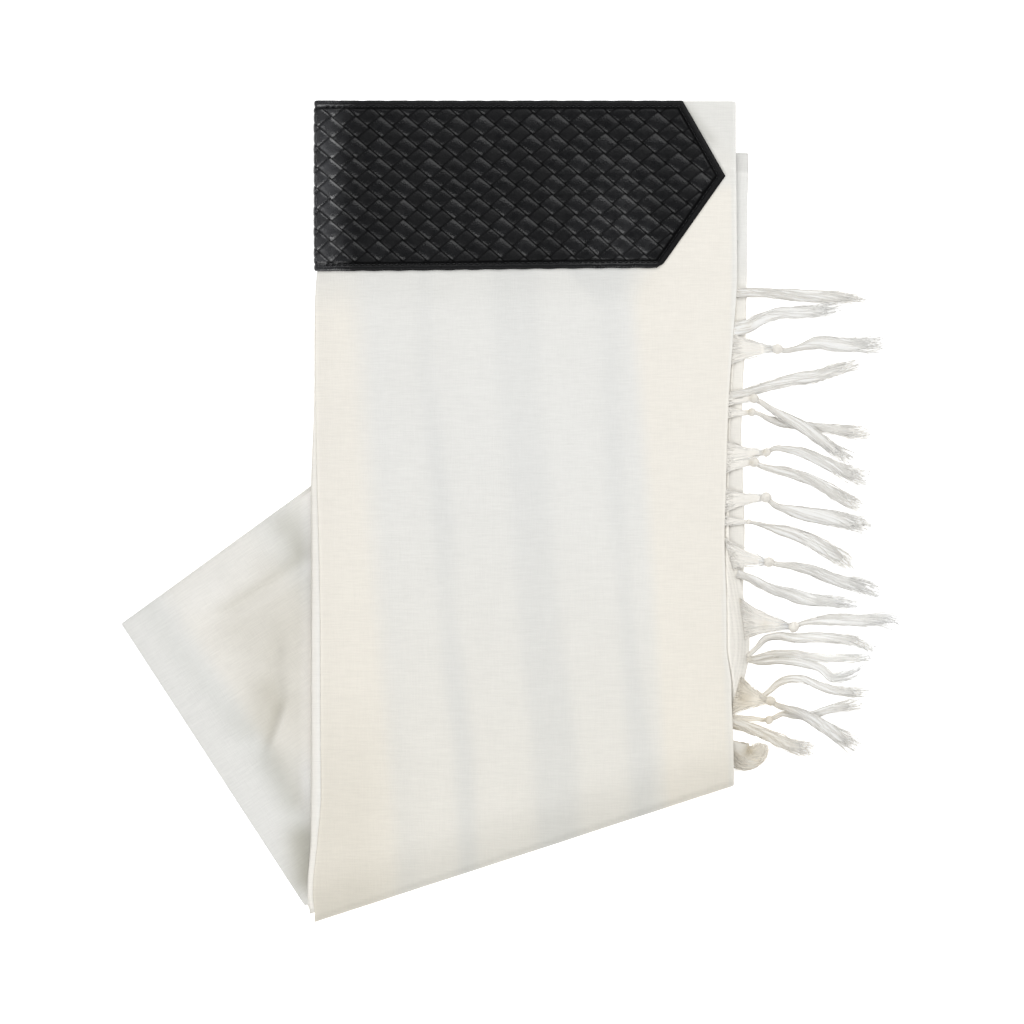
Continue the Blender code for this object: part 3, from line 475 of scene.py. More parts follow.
# ------------------------------------------------------------------------------
# Stretch turned up below, at the left. The same cloth, turned so that its stripes run along its outer edge;
# it comes out from under the strip, and its upper end is folded down to the surface. A crease crosses it.
# ------------------------------------------------------------------------------
FLAP_TIP = np.array((-119.5, -228.5))
FLAP_MEETS = 14.0           # where its end fold comes out from under the strip
FLAP_REACH = 3.0            # how far that fold rounds out
FLAP_CLOTH = 1.3            # two layers again, less pressed
FLAP_TUCK = 4.0             # how far it goes on under the strip
FLAP_LOWEST = 2.65          # its underside, where it lies pressed flat on the layers below
FLAP_ROWS, FLAP_TURN_ROWS, FLAP_COLUMNS = 150, 11, 85

flap_along = (FLAP_TIP - FLAP_OUTER) / np.linalg.norm(FLAP_TIP - FLAP_OUTER)
flap_inward = np.array((-flap_along[1], flap_along[0]))
flap_start = FLAP_OUTER + flap_along * FLAP_REACH + flap_inward * FLAP_CLOTH / 2
flap_end = FLAP_TIP - flap_along * 0.4 + flap_inward * FLAP_CLOTH / 2
flap_left = flap_start + (flap_end - flap_start) * np.linspace(0.0, 1.0, FLAP_ROWS)[:, None]
flap_side = np.linspace(FLAP_MEETS - FLAP_REACH + 0.7 * FLAP_TUCK, -225.5, FLAP_ROWS)
flap_right = side_points(LAYERS, flap_side, FLAP_TUCK)
flap_plan = across_rows(flap_left, flap_right, FLAP_COLUMNS)
to_strip = np.maximum(np.linalg.norm(flap_right[:, None] - flap_plan, axis=-1) - FLAP_TUCK - 0.7, 0.0)
from_outer = -side_of(flap_plan, FLAP_OUTER, FLAP_TIP)
flap_sink = 1.6 * (1.0 - smooth_step(to_strip, 0.0, 66.0))
flap_relief = creases(flap_plan, (
    (((-98.0, -17.0), (-139.0, -43.0), (-162.0, -58.0), (-192.0, -74.0)), 4.2, -1.9, -0.9),
    (((-104.0, -4.0), (-124.0, -12.0), (-142.0, -24.0)), 9.0, -1.3),
    (((-134.0, -58.0), (-137.0, -94.0), (-134.0, -108.0), (-150.0, -154.0)), 5.0, -1.5, -0.6),
    (((-128.0, -104.0), (-132.5, -122.0), (-142.0, -144.0)), 3.0, 1.2),
    (((-131.0, -136.0), (-122.0, -156.0), (-118.0, -184.0)), 5.0, -1.3),
    (((-196.0, -76.0), (-176.0, -104.0), (-152.0, -136.0)), 8.0, 0.4),
    (((-176.0, -46.0), (-150.0, -30.0), (-124.0, -14.0)), 9.0, 0.6),
))
flap_waves = 0.3 * waves(flap_plan, 42.0, 12) + 0.12 * waves(flap_plan, 17.0, 4)
at_edges = smooth_step(from_outer, 0.0, 12.0) * smooth_step(to_strip, -1.0, 6.0)
flap_height = FLAP_HEIGHT + 0.35 - flap_sink + (flap_relief + flap_waves) * at_edges
flap_height -= 0.5 * (1.0 - smooth_step(from_outer, 0.0, 6.0))
flap_top = with_height(flap_plan, np.maximum(flap_height, FLAP_LOWEST + FLAP_CLOTH))
flap_fold = turned_under(flap_top[0], -flap_along * FLAP_REACH, FLAP_TURN_ROWS)[::-1]
flap_outer_face = np.concatenate((flap_fold, flap_top))
flap_inner_face = flap_outer_face - surface_normals(flap_outer_face) * FLAP_CLOTH

# Its stripes, along the outer edge: rows of (distance along it, distance in from it, half width, strength)
FLAP_STRIPE = np.array((
    (160.0, 21.8, 5.0, 0.9), (137.0, 23.4, 5.6, 1.0), (107.0, 25.8, 5.8, 1.0), (63.0, 22.7, 6.0, 1.0),
    (30.0, 18.3, 5.6, 0.9), (0.0, 18.8, 6.0, 0.9),
))
FLAP_WIDE_STRIPE = np.array(((90.0, 111.0, 12.0, 0.8), (0.0, 108.0, 13.0, 0.8)))
down_edge = (flap_outer_face[..., :2] - FLAP_OUTER) @ flap_along
in_from_edge = -side_of(flap_outer_face, FLAP_OUTER, FLAP_TIP)
greyed = stripe(in_from_edge, down_edge, FLAP_STRIPE, 2.5)
greyed = np.maximum(greyed, stripe(in_from_edge, down_edge, FLAP_WIDE_STRIPE, 3.5))
creamy = smooth_step(in_from_edge, 23.0, 38.0) * (0.4 + 0.3 * smooth_step(down_edge, 4.0, 34.0))
creamy *= 1.0 - 0.75 * smooth_step(-flap_outer_face[..., 1], 128.0, 158.0)
flap_tones = mixed(mixed(NEUTRAL, CREAM, creamy), GREY * (1.0, 1.0, 0.985), greyed)
flap_tones = 0.98 * flap_tones * (1.0 + 0.008 * waves(flap_outer_face, 15.0, 9))[..., None]
# Painted shade: greyer in its creases and in the strip's shadow, with painted highlights where a row is
# below 0
past_crease = side_of(flap_outer_face, np.array((-192.0, -78.0)), np.array((-98.0, -21.0)))
painted_shade = 0.13 * smooth_step(in_from_edge, 30.0, 60.0) * smooth_step(past_crease, -3.0, 8.0)
painted_shade += creases(flap_outer_face, (
    (((-110.0, -20.0), (-120.0, -26.0), (-144.0, -43.0), (-164.0, -56.0), (-178.0, -65.0)), 5.0, 0.15),
    (((-112.0, -19.0), (-128.0, -24.0), (-142.0, -30.0), (-154.0, -40.0)), 7.0, 0.06),
    (((-140.0, 2.0), (-131.0, -7.0), (-122.0, -18.0), (-112.0, -32.0)), 9.0, 0.17),
    (((-196.0, -64.0), (-180.0, -52.0), (-160.0, -38.0)), 9.0, -0.035),
    (((-126.0, -52.0), (-127.0, -72.0), (-128.0, -96.0)), 12.0, 0.02),
    (((-134.0, -50.0), (-136.0, -94.0), (-150.0, -142.0)), 7.0, 0.045),
    (((-132.0, -104.0), (-136.0, -118.0), (-144.0, -143.0)), 4.0, 0.12),
    (((-138.0, -92.0), (-146.0, -116.0), (-150.0, -138.0)), 15.0, 0.11),
    (((-146.0, -130.0), (-135.0, -147.0), (-127.0, -162.0), (-119.0, -182.0)), 9.0, 0.20),
    (((-122.0, -174.0), (-121.0, -196.0), (-117.0, -228.0)), 10.0, 0.32),
    (((-130.0, -112.0), (-133.0, -124.0), (-137.0, -138.0)), 2.5, -0.04),
    (((-116.0, -60.0), (-117.0, -100.0), (-118.0, -150.0)), 8.0, -0.04),
))
# Painted light beside the strip, above its lowest part, against the shadow the strip casts there
beside_strip = 1.0 - smooth_step(to_strip, 1.0, 10.0)
painted_shade[FLAP_TURN_ROWS:] -= 0.19 * beside_strip * smooth_step(flap_plan[..., 1], -178.0, -160.0)
flap_tones = flap_tones * (1.0 - painted_shade[..., None] * np.array((1.0, 1.03, 1.18)))
flap_tones = np.minimum(flap_tones, BRIGHTEST)

flap_turn = math.degrees(math.atan2(flap_inward[1], flap_inward[0]))
flap_cloth = woven_cloth("shawl cloth turned up", flap_turn, 1.3)
flap = add_sheet("turned_up_stretch", flap_outer_face, flap_inner_face, flap_tones, flap_cloth)
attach(flap, "root")
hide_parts("flap_panel")

# ------------------------------------------------------------------------------
# The layers folded away between them. The same cloth, laid back and forth: each layer shows as a rounded
# fold at the sides, the lowest follow the turned-up stretch, and one is turned back along the right side.
# ------------------------------------------------------------------------------
UNDER_GAP = 0.15            # between the front stretch and the layers
STACK_ROWS, STACK_COLUMNS = 190, 46
BACK_HEM = 207.9            # the layer turned back ends in a hem
HEM_ROWS = 12               # rows above the hem
BACK_STARTS = 126.0         # to the right of this only the layer turned back shows
LEFT_STARTS = -108.0        # and to the left of this the layers' outer folds
FRINGE_TOP, FRINGE_BOTTOM = 131.0, -152.0   # where the fringed end starts and ends down the strip
FRINGE_INNER = 117.5        # its inner edge, tucked in under the front stretch
BAND_UNDER = 14.0           # how far the neck band goes on round the left fold
# Lower folds: (top, reach, slip). Upper ones: (share of the room left over them, slip). A fold's own rounded
# side: (share of its height, how far that draws in)
LOWER_FOLDS = (
    (0.6, "back", 0.1), (1.2, "back", -0.35), (1.8, "back", 0.15), (2.4, "back", -0.25),
    (3.1, "fringe", -0.5), (3.8, "fringe", -0.1),
)
UPPER_FOLDS = ((0.14, 0.3), (0.27, -0.5), (0.39, 0.1), (0.5, -0.7), (0.66, 0.2), (0.84, 0.5), (1.0, 0.1))
NARROW_FOLD = ((0.03, 0.5), (0.2, 0.14), (0.5, 0.0), (0.8, 0.14), (0.97, 0.5))
TOP_FOLD = ((0.03, 0.5), (0.2, 0.14), (0.45, 0.0), (0.7, 0.06), (0.86, 0.24), (0.95, 0.5), (1.0, 0.9))


def along_legs(corners, count):
    """Evenly spaced points along straight legs between corners."""
    corners = np.asarray(corners, float)
    steps = np.linalg.norm(np.diff(corners, axis=0), axis=1)
    place = np.concatenate(((0.0,), np.cumsum(steps)))
    run = np.linspace(0.0, place[-1], count)
    return np.stack([np.interp(run, place, corners[:, part]) for part in (0, 1)], -1)


def fold_outline(reach, fold_in):
    """Left and right points of a folded layer, which stops fold_in short of the slanted fold's outline."""
    foot = fold_in / FOLD_OUT[1]
    y_left = np.linspace(neck_edge, TIP[1] - foot, STACK_ROWS)
    y_right = np.concatenate((
        np.linspace(neck_edge, BACK_HEM + 0.4, HEM_ROWS),
        np.linspace(BACK_HEM, CORNER[1] - foot, STACK_ROWS - HEM_ROWS),
    ))
    left, right = side_points(LAYERS, y_left), side_points(FRONT_RIGHT, y_right, -2.4)
    if reach == "front":
        left[:, 0] += (BAND_UNDER + 6.0) * smooth_step(y_left, BAND_FOOT - 14.0, BAND_FOOT - 4.0)
        return left, right
    above = STACK_ROWS // 2
    corner = FLAP_OUTER + flap_along * (FLAP_REACH + 2.2) + flap_inward * 0.6
    legs = ((left[above - 1, 0], FLAP_MEETS - 6.0), corner, FLAP_TIP + flap_inward * 0.8, left[-1])
    turned_up = along_legs(legs, STACK_ROWS - above)
    straight = along_legs((left[0], left[above - 1] * (1, 0) + (0, FLAP_MEETS - 5.0)), above)
    straight[:, 0] = edge_at(LAYERS, straight[:, 1])
    left = np.concatenate((straight, turned_up))
    if reach == "fringe":
        tucked = smooth_step(right[:, 1], FRINGE_TOP + 26.0, FRINGE_TOP + 20.0)
        right[:, 0] += (FRINGE_INNER - 2.0 - right[:, 0]) * tucked
        return left, right
    right[HEM_ROWS:, 0] = edge_at(TURNED_BACK, y_right[HEM_ROWS:])
    return left, right


def layer_scale(plan):
    """How thick the lower layers lie: puffed a little at the right, and flat under the turned-up stretch."""
    past_front = past(FRONT_RIGHT, plan)
    at_right = smooth_step(past_front, -2.0, 4.0) * smooth_step(plan[..., 1], -159.0, -130.0)
    bulging = 0.3 * np.exp(-(((past_front - 1.6) / 1.3) ** 2))
    above_fringe = smooth_step(plan[..., 1], 132.0, 150.0)
    pressed = 0.32 * smooth_step(-plan[..., 0], 94.0, 108.0)
    return 1.0 + (0.5 + (0.5 + bulging) * above_fringe) * at_right - pressed


def fold_grid(reach, height, inset):
    """A layer's grid at a height, drawn in by the inset at its sides. At the slanted fold the layers nest
    in a half circle inside the front stretch."""
    middle = (STRIP_HEIGHT + FLAP_HEIGHT) / 2
    nest = math.sqrt(max(0.0, 1.0 - ((height - middle) / (middle - 3.0)) ** 2))
    fold_in = FOLD_REACH + 0.6 - (FOLD_REACH - 2.8) * nest
    left, right = fold_outline(reach, fold_in)
    grid = across_rows(left, right, STACK_COLUMNS)
    away = grid - grid.mean(axis=1, keepdims=True)
    grid = grid - inset[..., None] * away / np.maximum(np.linalg.norm(away, axis=-1, keepdims=True), 40.0)
    grid[0, :, 1] -= inset[0]
    grid[-1] -= inset[-1][:, None] * FOLD_OUT
    return grid


def over_flap(plan):
    """1 where the turned-up stretch is tucked in under the strip's left side, and 0 away from it."""
    return smooth_step(-plan[..., 0], 101.0, 108.0) * smooth_step(-plan[..., 1], -20.0, -15.0)


edge = outline_order(STACK_ROWS, STACK_COLUMNS)
lower_top = LOWER_FOLDS[-1][0]
levels = []
row_place = np.linspace(0.0, 450.0, STACK_ROWS)[:, None] * np.ones((1, STACK_COLUMNS))
column_place = np.linspace(0.0, 240.0, STACK_COLUMNS)[None, :] * np.ones((STACK_ROWS, 1))
floor = 0.0
for number, (top, reach, slip) in enumerate(LOWER_FOLDS):
    wander = 0.3 * waves(np.stack((row_place + 70.0 * number, column_place), -1), 90.0, 30 + number)
    for share, groove in NARROW_FOLD:
        height = floor + (top - floor) * share if levels else 0.0
        grid = fold_grid(reach, height, 1.0 - slip + groove + wander)
        levels.append(with_height(grid, height * layer_scale(grid)))
    floor = top
# The slot that the turned-up stretch is tucked in, between the lower folds and the upper ones
for raised in (0.0, FLAP_CLOTH + 1.1):
    grid = fold_grid("front", lower_top, np.full((STACK_ROWS, STACK_COLUMNS), 1.5))
    grid = fold_grid("front", lower_top, 1.5 + (FLAP_TUCK + 1.0) * over_flap(grid))
    levels.append(with_height(grid, lower_top * layer_scale(grid) + raised * over_flap(grid) + 0.01))
floor = 0.0
for number, (top, slip) in enumerate(UPPER_FOLDS):
    wander = 0.4 * waves(np.stack((row_place + 70.0 * number, column_place), -1), 110.0, 50 + number)
    for share, groove in TOP_FOLD if top == 1.0 else NARROW_FOLD:
        part = floor + (top - floor) * share
        mean_height = lower_top + (STRIP_HEIGHT + FLAP_HEIGHT - CLOTH - UNDER_GAP - lower_top) * part
        grid = fold_grid("front", mean_height, 1.0 - slip + groove + wander)
        base = lower_top * layer_scale(grid) + (FLAP_CLOTH + 1.1) * over_flap(grid)
        levels.append(with_height(grid, base + (strip_top(grid) - CLOTH - UNDER_GAP - base) * part))
    floor = top
points = [level.reshape(-1, 3)[edge] for level in levels]
rings = len(points)
quads = []
for ring in range(rings - 1):
    first = ring * len(edge) + np.arange(len(edge))
    quads.append(ring_quads(first, first + len(edge))[:, ::-1])
# The top and the underside are grids of their own, joined to the last ring and the first
grid_count = STACK_ROWS * STACK_COLUMNS
inside = np.setdiff1d(np.arange(grid_count), edge)
count = rings * len(edge)
for level, ring, flip in ((levels[-1], rings - 1, False), (levels[0], 0, True)):
    index = np.full(grid_count, -1)
    index[edge] = ring * len(edge) + np.arange(len(edge))
    index[inside] = count + np.arange(len(inside))
    points.append(level.reshape(-1, 3)[inside])
    faces = index[grid_quads(STACK_ROWS, STACK_COLUMNS)]
    quads.append(faces[:, ::-1] if flip else faces)
    count += len(inside)
points = np.concatenate(points)
creamy = 0.75 * smooth_step(np.abs(points[:, 0]), 110.0, 114.0) * smooth_step(-points[:, 1], -160.0, -110.0)
stack_tones = mixed(NEUTRAL * 1.04, CREAM * 1.04, creamy)
# Painted light on the layer turned back, beside the front stretch where its shadow falls and part way down;
# greyer under its hem
x, y = points[:, 0], points[:, 1]
on_back = x > BACK_STARTS
lift = (0.10 * (1.0 - smooth_step(past(FRONT_RIGHT, points), 0.0, 5.0)) - 0.03) * on_back
lift -= 0.10 * smooth_step(y, 196.0, 200.0) * on_back
lift += 0.045 * smooth_step(y, 48.0, 62.0) * smooth_step(-y, -118.0, -102.0) * on_back
# Painted highlights and shade along its creases
lift += creases(points, (
    (((128.0, 199.6), (134.0, 197.6), (140.0, 195.2)), 0.8, 0.12),
    (((130.5, 200.4), (135.0, 198.8), (140.0, 196.8)), 0.5, -0.1),
    (((133.4, 192.0), (133.0, 170.0), (133.6, 142.0)), 0.6, -0.07),
    (((132.0, 182.0), (131.6, 175.0), (131.4, 166.0)), 0.8, -0.12),
))
# Painted light: the layers below are brightest beside the front stretch's left fold, against the shade of
# the groove there
beside_front = np.maximum(-past(FRONT, points), 0.0)
lift += (0.12 * np.exp(-((beside_front / 2.2) ** 2)) - 0.04) * (x < LEFT_STARTS)
stack_tones = np.minimum(stack_tones * (1.0 + lift)[:, None], BRIGHTEST)
stack_tones = stack_tones * (1.0 + 0.012 * waves(points, 23.0, 14))[:, None]
stack_cloth = woven_cloth("shawl cloth folded away", 0.0)
stack = add_piece("folded_layers", points, np.concatenate(quads), stack_cloth, stack_tones)
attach(stack, "root")
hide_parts("hidden_layers")

# ------------------------------------------------------------------------------
# The cloth's fringed end. Woven cloth with a hemstitched band of drawn threads, tucked in under the front
# stretch; the fringe is its own warp, gathered and knotted, so its edge is pulled into scallops.
# ------------------------------------------------------------------------------
END_ROWS, END_COLUMNS = 329, 29
END_TOP = 3.75              # height of its upper face where it is tucked in
END_RISE = 0.95             # puffed up by the fringe tied at its edge
END_CLOTH = 0.8             # one layer

end_y = np.linspace(FRINGE_TOP, FRINGE_BOTTOM, END_ROWS)
end_outer = side_points(FRINGED, end_y, -0.4)
end_inner = np.stack((np.full_like(end_y, FRINGE_INNER), end_y), -1)
end_plan = across_rows(end_inner, end_outer, END_COLUMNS)
y = end_plan[..., 1]
to_edge = end_outer[:, None, 0] - end_plan[..., 0]
past_front = past(FRONT_RIGHT, end_plan)
gathers = 0.22 * np.sin(y * 2.2 + 1.5 * np.sin(y * 0.31)) * (1.0 - smooth_step(to_edge, 0.0, 7.0))
# Grooves of the four drawn bands, by their distance from the edge
drawn = sum(np.exp(-(((to_edge - place) / 0.45) ** 2)) for place in (2.2, 3.9, 5.8, 8.4))
# It rises where it comes out from under the front stretch, most between the middle and the lower locks
shown = smooth_step(-y, 12.0, 30.0) * smooth_step(y, -112.0, -98.0)
puffed = smooth_step(past_front, -2.5, 3.0)
puffed += (0.5 + 1.2 * shown) * np.exp(-(((past_front - 1.5 + 0.6 * shown) / (1.3 + 0.5 * shown)) ** 2))
end_height = END_TOP + END_RISE * puffed + gathers - 0.22 * drawn + 0.15 * waves(end_plan, 16.0, 17) - 0.15
under_front = strip_top(end_plan) - CLOTH - 0.12 + 1.3 * np.maximum(past_front - 0.1, 0.0)
end_height = np.minimum(end_height, under_front)
end_top = with_height(end_plan, end_height)
end_under = with_height(end_plan, end_height - END_CLOTH)
threads = 0.5 + 0.5 * np.sin(y * 4.4 + 0.7 * np.sin(y * 0.9))
end_tones = mixed(NEUTRAL, CREAM, np.full(y.shape, 0.85))
end_tones = end_tones * (1.0 - 0.16 * drawn * (0.4 + 0.6 * threads))[..., None]
# Painted light beside the front stretch's edge, against the shadow it casts; darker further out towards the
# lower end
end_lift = 0.12 * (1.0 - smooth_step(past_front, 0.0, 5.0))
end_lift -= 0.10 * smooth_step(-y, 40.0, 60.0) * smooth_step(past_front, 4.0, 9.0)
end_tones = np.minimum(end_tones * (1.0 + end_lift)[..., None], BRIGHTEST)
end_cloth = woven_cloth("hemstitched end", 0.0)
fringed_end = add_sheet("fringed_end", end_top, end_under, end_tones, end_cloth)
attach(fringed_end, "root")
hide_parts("fringe_edge")

# ------------------------------------------------------------------------------
# The neck band. Flat strips of black leather plaited over and under on the bias, backed, its edges turned
# in and stitched; pointed at its end, stitched along the neck edge and folded round the left fold.
# ------------------------------------------------------------------------------
GAP = 0.3                   # between the leather and the cloth
LEATHER = 1.5               # plaited strips and backing
BAND_TURN = 3.9             # plain turned edge
BAND_TURNS = 4              # steps in the rounding of its rim
# Corners of its pointed end, as (distance from the left fold, distance down from the neck edge)
BAND_TIP = np.array((236.0, 44.3))
BAND_SHOULDER = np.array((211.3, 0.0))
BAND_HEEL = np.array((198.6, BAND_WIDTH))
HALF_CELL_X, HALF_CELL_Y = 7.25, 6.03  # half a crossing, along and down
CELL_PITCH = 2.0 / math.hypot(1.0 / HALF_CELL_X, 1.0 / HALF_CELL_Y)   # from one strip to the next


def band_place(along, down, height):
    """A point of the band: along runs from the left fold to the point and below 0 goes round the fold and
    under, down runs from the neck edge. Its height is over the band's underside."""
    y = HALF_LENGTH - down
    centre = edge_at(FRONT, y) + CLOTH / 2
    radius = CLOTH / 2 + GAP + LEATHER / 2
    arc = math.pi * radius
    turn = np.clip(-along / radius, 0.0, math.pi)
    out = CLOTH / 2 + GAP + height
    x = centre + np.maximum(along, 0.0) + np.maximum(-along - arc, 0.0) - out * np.sin(turn)
    cloth = strip_top(np.stack((np.maximum(x, centre), y), -1))
    return np.stack((x, y, cloth - CLOTH / 2 + out * np.cos(turn)), -1)


def point_line(down, inset=0.0):
    """Where the pointed end's edge lies, drawn in by an inset: the nearer of its two straight sides."""
    ends = []
    for near in (BAND_SHOULDER, BAND_HEEL):
        run = unit(near - BAND_TIP)
        ends.append(BAND_TIP[0] + run[0] / run[1] * (down - BAND_TIP[1]) - inset / abs(run[1]))
    return np.minimum(*ends)


def edge_distance(along, down):
    """Distance in from the nearest edge of the band."""
    sides = []
    for near in (BAND_SHOULDER, BAND_HEEL):
        run = unit(near - BAND_TIP)
        sides.append(np.abs((along - BAND_TIP[0]) * run[1] - (down - BAND_TIP[1]) * run[0]))
    return np.minimum(np.minimum(down, BAND_WIDTH - down), np.minimum(*sides))


def scattered(first, second, seed):
    """A crossing's own small difference, -1 to 1: the part after the point of a large sine."""
    large = np.abs(np.sin(first * 12.9898 + second * 78.233 + seed * 37.719) * 4375.85)
    return 2.0 * np.modf(large)[0] - 1.0


def plait(along, down):
    """Height of the plaited strips, how near a point is to a gap between them, and the tilt of the strip
    that shows. One set runs down to the right, the other up to the right, and both lie wider apart towards
    the lower right. Where a strip shows it is a pillow: rounded across, rounded again along the run it
    shows over, and dropping into a gap all round; the gap cuts its corners round."""
    columns = (along - 3.2) / HALF_CELL_X + 0.05 * np.sin(down / 17.0) + 0.04 * np.sin(along / 23.0)
    rows = (down - 10.4) / HALF_CELL_Y + 0.05 * np.sin(along / 19.0 + 1.0)
    far, low = along / 100.0, down / 100.0
    # Places counted in strips, across the falling set and across the rising one
    falling_place = (columns - rows) / 2 + 0.08 - 0.20 * far + 0.07 * low + 0.30 * far * low
    rising_place = (columns + rows) / 2 + 1.22 + 0.06 * far + 0.12 * low + 0.32 * far * low
    falling_number, rising_number = np.round(falling_place), np.round(rising_place)
    off_falling, off_rising = falling_place - falling_number, rising_place - rising_number
    falling_half = 0.495 * (1.0 + 0.01 * scattered(falling_number, 0.0, 3))
    rising_half = 0.425 * (1.0 + 0.03 * scattered(0.0, rising_number, 4))
    falling_over = np.mod(falling_number + rising_number, 2.0) < 0.5
    falling_shows = np.where(
        falling_over, np.abs(off_falling) < falling_half, np.abs(off_rising) > rising_half
    )
    at_own_crossing = falling_over == falling_shows
    # Places measured from the middle of the strip that shows, across it and along its run
    across = np.where(falling_shows, off_falling, off_rising)
    ahead = np.where(falling_shows, off_rising, off_falling)
    ahead = ahead - np.where(at_own_crossing, 0.0, np.sign(ahead))
    half = np.where(falling_shows, falling_half, rising_half)
    run = 1.0 - np.where(falling_shows, rising_half, falling_half)
    tilt = scattered(falling_number + rising_number - np.where(at_own_crossing, 0.0, 1.0), half, 1)
    # How much a falling strip and a rising one round across and along their run, and how deep they lie
    crown = np.where(falling_shows, 0.52, 0.28)
    arch = np.where(falling_shows, 0.44, 0.34)
    sunk = np.where(falling_shows, 0.34, 0.30)
    rounded = crown * (1.0 - np.minimum(np.abs(across) / half, 1.0) ** 2.6)
    arched = arch * (1.0 - np.minimum(np.abs(ahead) / run, 1.0) ** 2.6)
    from_side = np.maximum(half - np.abs(across), 0.0) * CELL_PITCH
    from_end = np.maximum(run - np.abs(ahead), 0.0) * CELL_PITCH
    nearest = from_side + from_end - np.hypot(from_side, from_end)
    gap = np.exp(-((nearest / 0.36) ** 2))
    height = rounded + arched - sunk - 0.28 * gap + 0.12 * tilt * ahead
    return np.maximum(height, -0.75), np.maximum(gap, np.where(falling_shows, 0.0, 0.25)), tilt


def narrowed(along):
    """The band's width along it as a share of its full width, a touch less towards its point."""
    return 1.0 - 0.0185 * smooth_step(along, 0.0, 200.0)


arc = math.pi * (CLOTH / 2 + GAP + LEATHER / 2)
band_down = np.concatenate((
    np.linspace(0.0, BAND_TIP[1], 85), np.linspace(BAND_TIP[1], BAND_WIDTH, 101)[1:]
))
plain_end = 190.0           # up to here its rows run square; beyond, they follow the point
band_along = np.concatenate((
    np.linspace(-arc - BAND_UNDER, -arc, 9), np.linspace(-arc, 0.0, 13)[1:],
    np.linspace(0.0, plain_end, 361)[1:],
))
to_point = np.linspace(0.0, 1.0, 69)[1:]
rounded_heel = 2.2 * smooth_step(band_down, BAND_WIDTH - 3.0, BAND_WIDTH) ** 2
pointed = plain_end + (point_line(band_down) - rounded_heel - plain_end)[:, None] * to_point
along = np.concatenate((np.broadcast_to(band_along, (len(band_down), len(band_along))), pointed), axis=1)
down = np.broadcast_to(band_down[:, None], along.shape)
inset = edge_distance(along, down)
woven, gap_depth, cell_tilt = plait(along, down)
field = smooth_step(inset, BAND_TURN - 0.4, BAND_TURN + 1.6) * smooth_step(along, -arc - 3.0, -arc + 1.0)
turned_edge = 0.32 * np.sin(np.clip(inset / (BAND_TURN - 0.9), 0.0, 1.0) * math.pi) ** 0.7 - 0.25
stitch_line = 0.35 * np.exp(-(((inset - BAND_TURN + 0.55) / 0.5) ** 2)) * smooth_step(along, -arc, 2.0)
press = 0.1 * waves(np.stack((along, down), -1), 26.0, 41)
relief = LEATHER - 0.1 + turned_edge * (1.0 - field) + woven * field - stitch_line + press
# The strips push the turned edges out a little
near_edge = smooth_step(np.abs(down - BAND_WIDTH / 2), 30.0, 49.0)
wavy = 0.22 * np.sin(along / 2.31) * near_edge * np.sign(down - 49.0)
down_place = np.clip(down * narrowed(along) + 0.6 * wavy, 0.0, BAND_WIDTH)
band_top = band_place(along, down_place, relief)
band_under = band_place(along, down_place, np.zeros_like(relief))
# Painted shade in the gaps between the strips and along the groove inside the turned edges; each crossing's
# tone differs a little at random
bordering = np.exp(-(((inset - BAND_TURN - 0.45) / 0.75) ** 2))
painted_light_and_tone = (1.0 - 0.88 * gap_depth * field) * (1.0 + 0.15 * cell_tilt * field) * (1.0 - 0.7 * bordering)
# Painted highlight, lighter and shinier, along the left fold where it turns to the lights, and a little
# below its point
painted_highlight = 3.3 * (1.0 - smooth_step(along, 0.0, 23.0))
painted_highlight += 0.55 * np.exp(-(((along - 172.0) / 24.0) ** 2)) * smooth_step(down, 15.0, 80.0)
painted_light_and_tone = painted_light_and_tone * (1.0 + painted_highlight) * (0.65 + 0.35 * field)
band_tones = np.repeat(painted_light_and_tone[..., None], 3, axis=-1)


def black_leather(name):
    """Black leather with a fine uneven grain and a shine that varies, darker where the piece's tone is."""
    made, shader, place, tone = material(name)
    colour = {0: tone.outputs["Color"], 1: (0.0052, 0.0054, 0.0062)}
    dark = shader_node(made, "VectorMath", colour, operation="MULTIPLY")
    patches = shader_node(made, "TexNoise", {"Vector": place, "Scale": 260.0, "Detail": 3.0}, "Fac")
    spread = {"From Min": 0.3, "From Max": 0.7, "To Min": 0.22, "To Max": 0.36}
    shine = shader_node(made, "MapRange", {"Value": patches, **spread})
    # Dull down in the gaps, where the tone is dark
    spread = {"From Min": 0.2, "From Max": 0.9, "To Min": 0.45, "To Max": 0.0}
    dull = shader_node(made, "MapRange", {"Value": tone.outputs["Fac"], **spread})
    rough = shader_node(made, "Math", {0: shine, 1: dull})
    grain = shader_node(made, "TexVoronoi", {"Vector": place, "Scale": 900.0}, "Distance")
    creased = {"Vector": place, "Scale": 700.0, "Detail": 4.0, "Distortion": 0.6}
    wrinkles = shader_node(made, "TexNoise", creased, "Fac")
    both = shader_node(made, "Math", {0: grain, 1: wrinkles})
    bump = shader_node(made, "Bump", {"Height": both, "Distance": 0.0003, "Strength": 0.22})
    set_inputs(made, shader, {
        "Base Color": dark, "Specular Tint": tone.outputs["Color"], "Specular IOR Level": 0.25,
        "Roughness": rough, "Normal": bump,
    })
    return made


leather = black_leather("plaited black leather")
neck_band = add_sheet("neck_band", band_top, band_under, band_tones, leather, BAND_TURNS, 0.7)
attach(neck_band, "root")
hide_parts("neck_band")

# Stitches of black thread along the turned edges: short, plump and sunk in a groove
STITCH_PITCH, STITCH_LENGTH, STITCH_RADIUS = 3.3, 2.4, 0.34
STITCH_INSET = BAND_TURN - 0.55


def tube_quads(index):
    """Faces round a tube from the numbers of its points, (rings, around), for one tube or for many."""
    near, far = index[..., :-1, :], index[..., 1:, :]
    corners = (near, far, np.roll(far, -1, axis=-1), np.roll(near, -1, axis=-1))
    return np.stack(corners, -1).reshape(-1, 4)


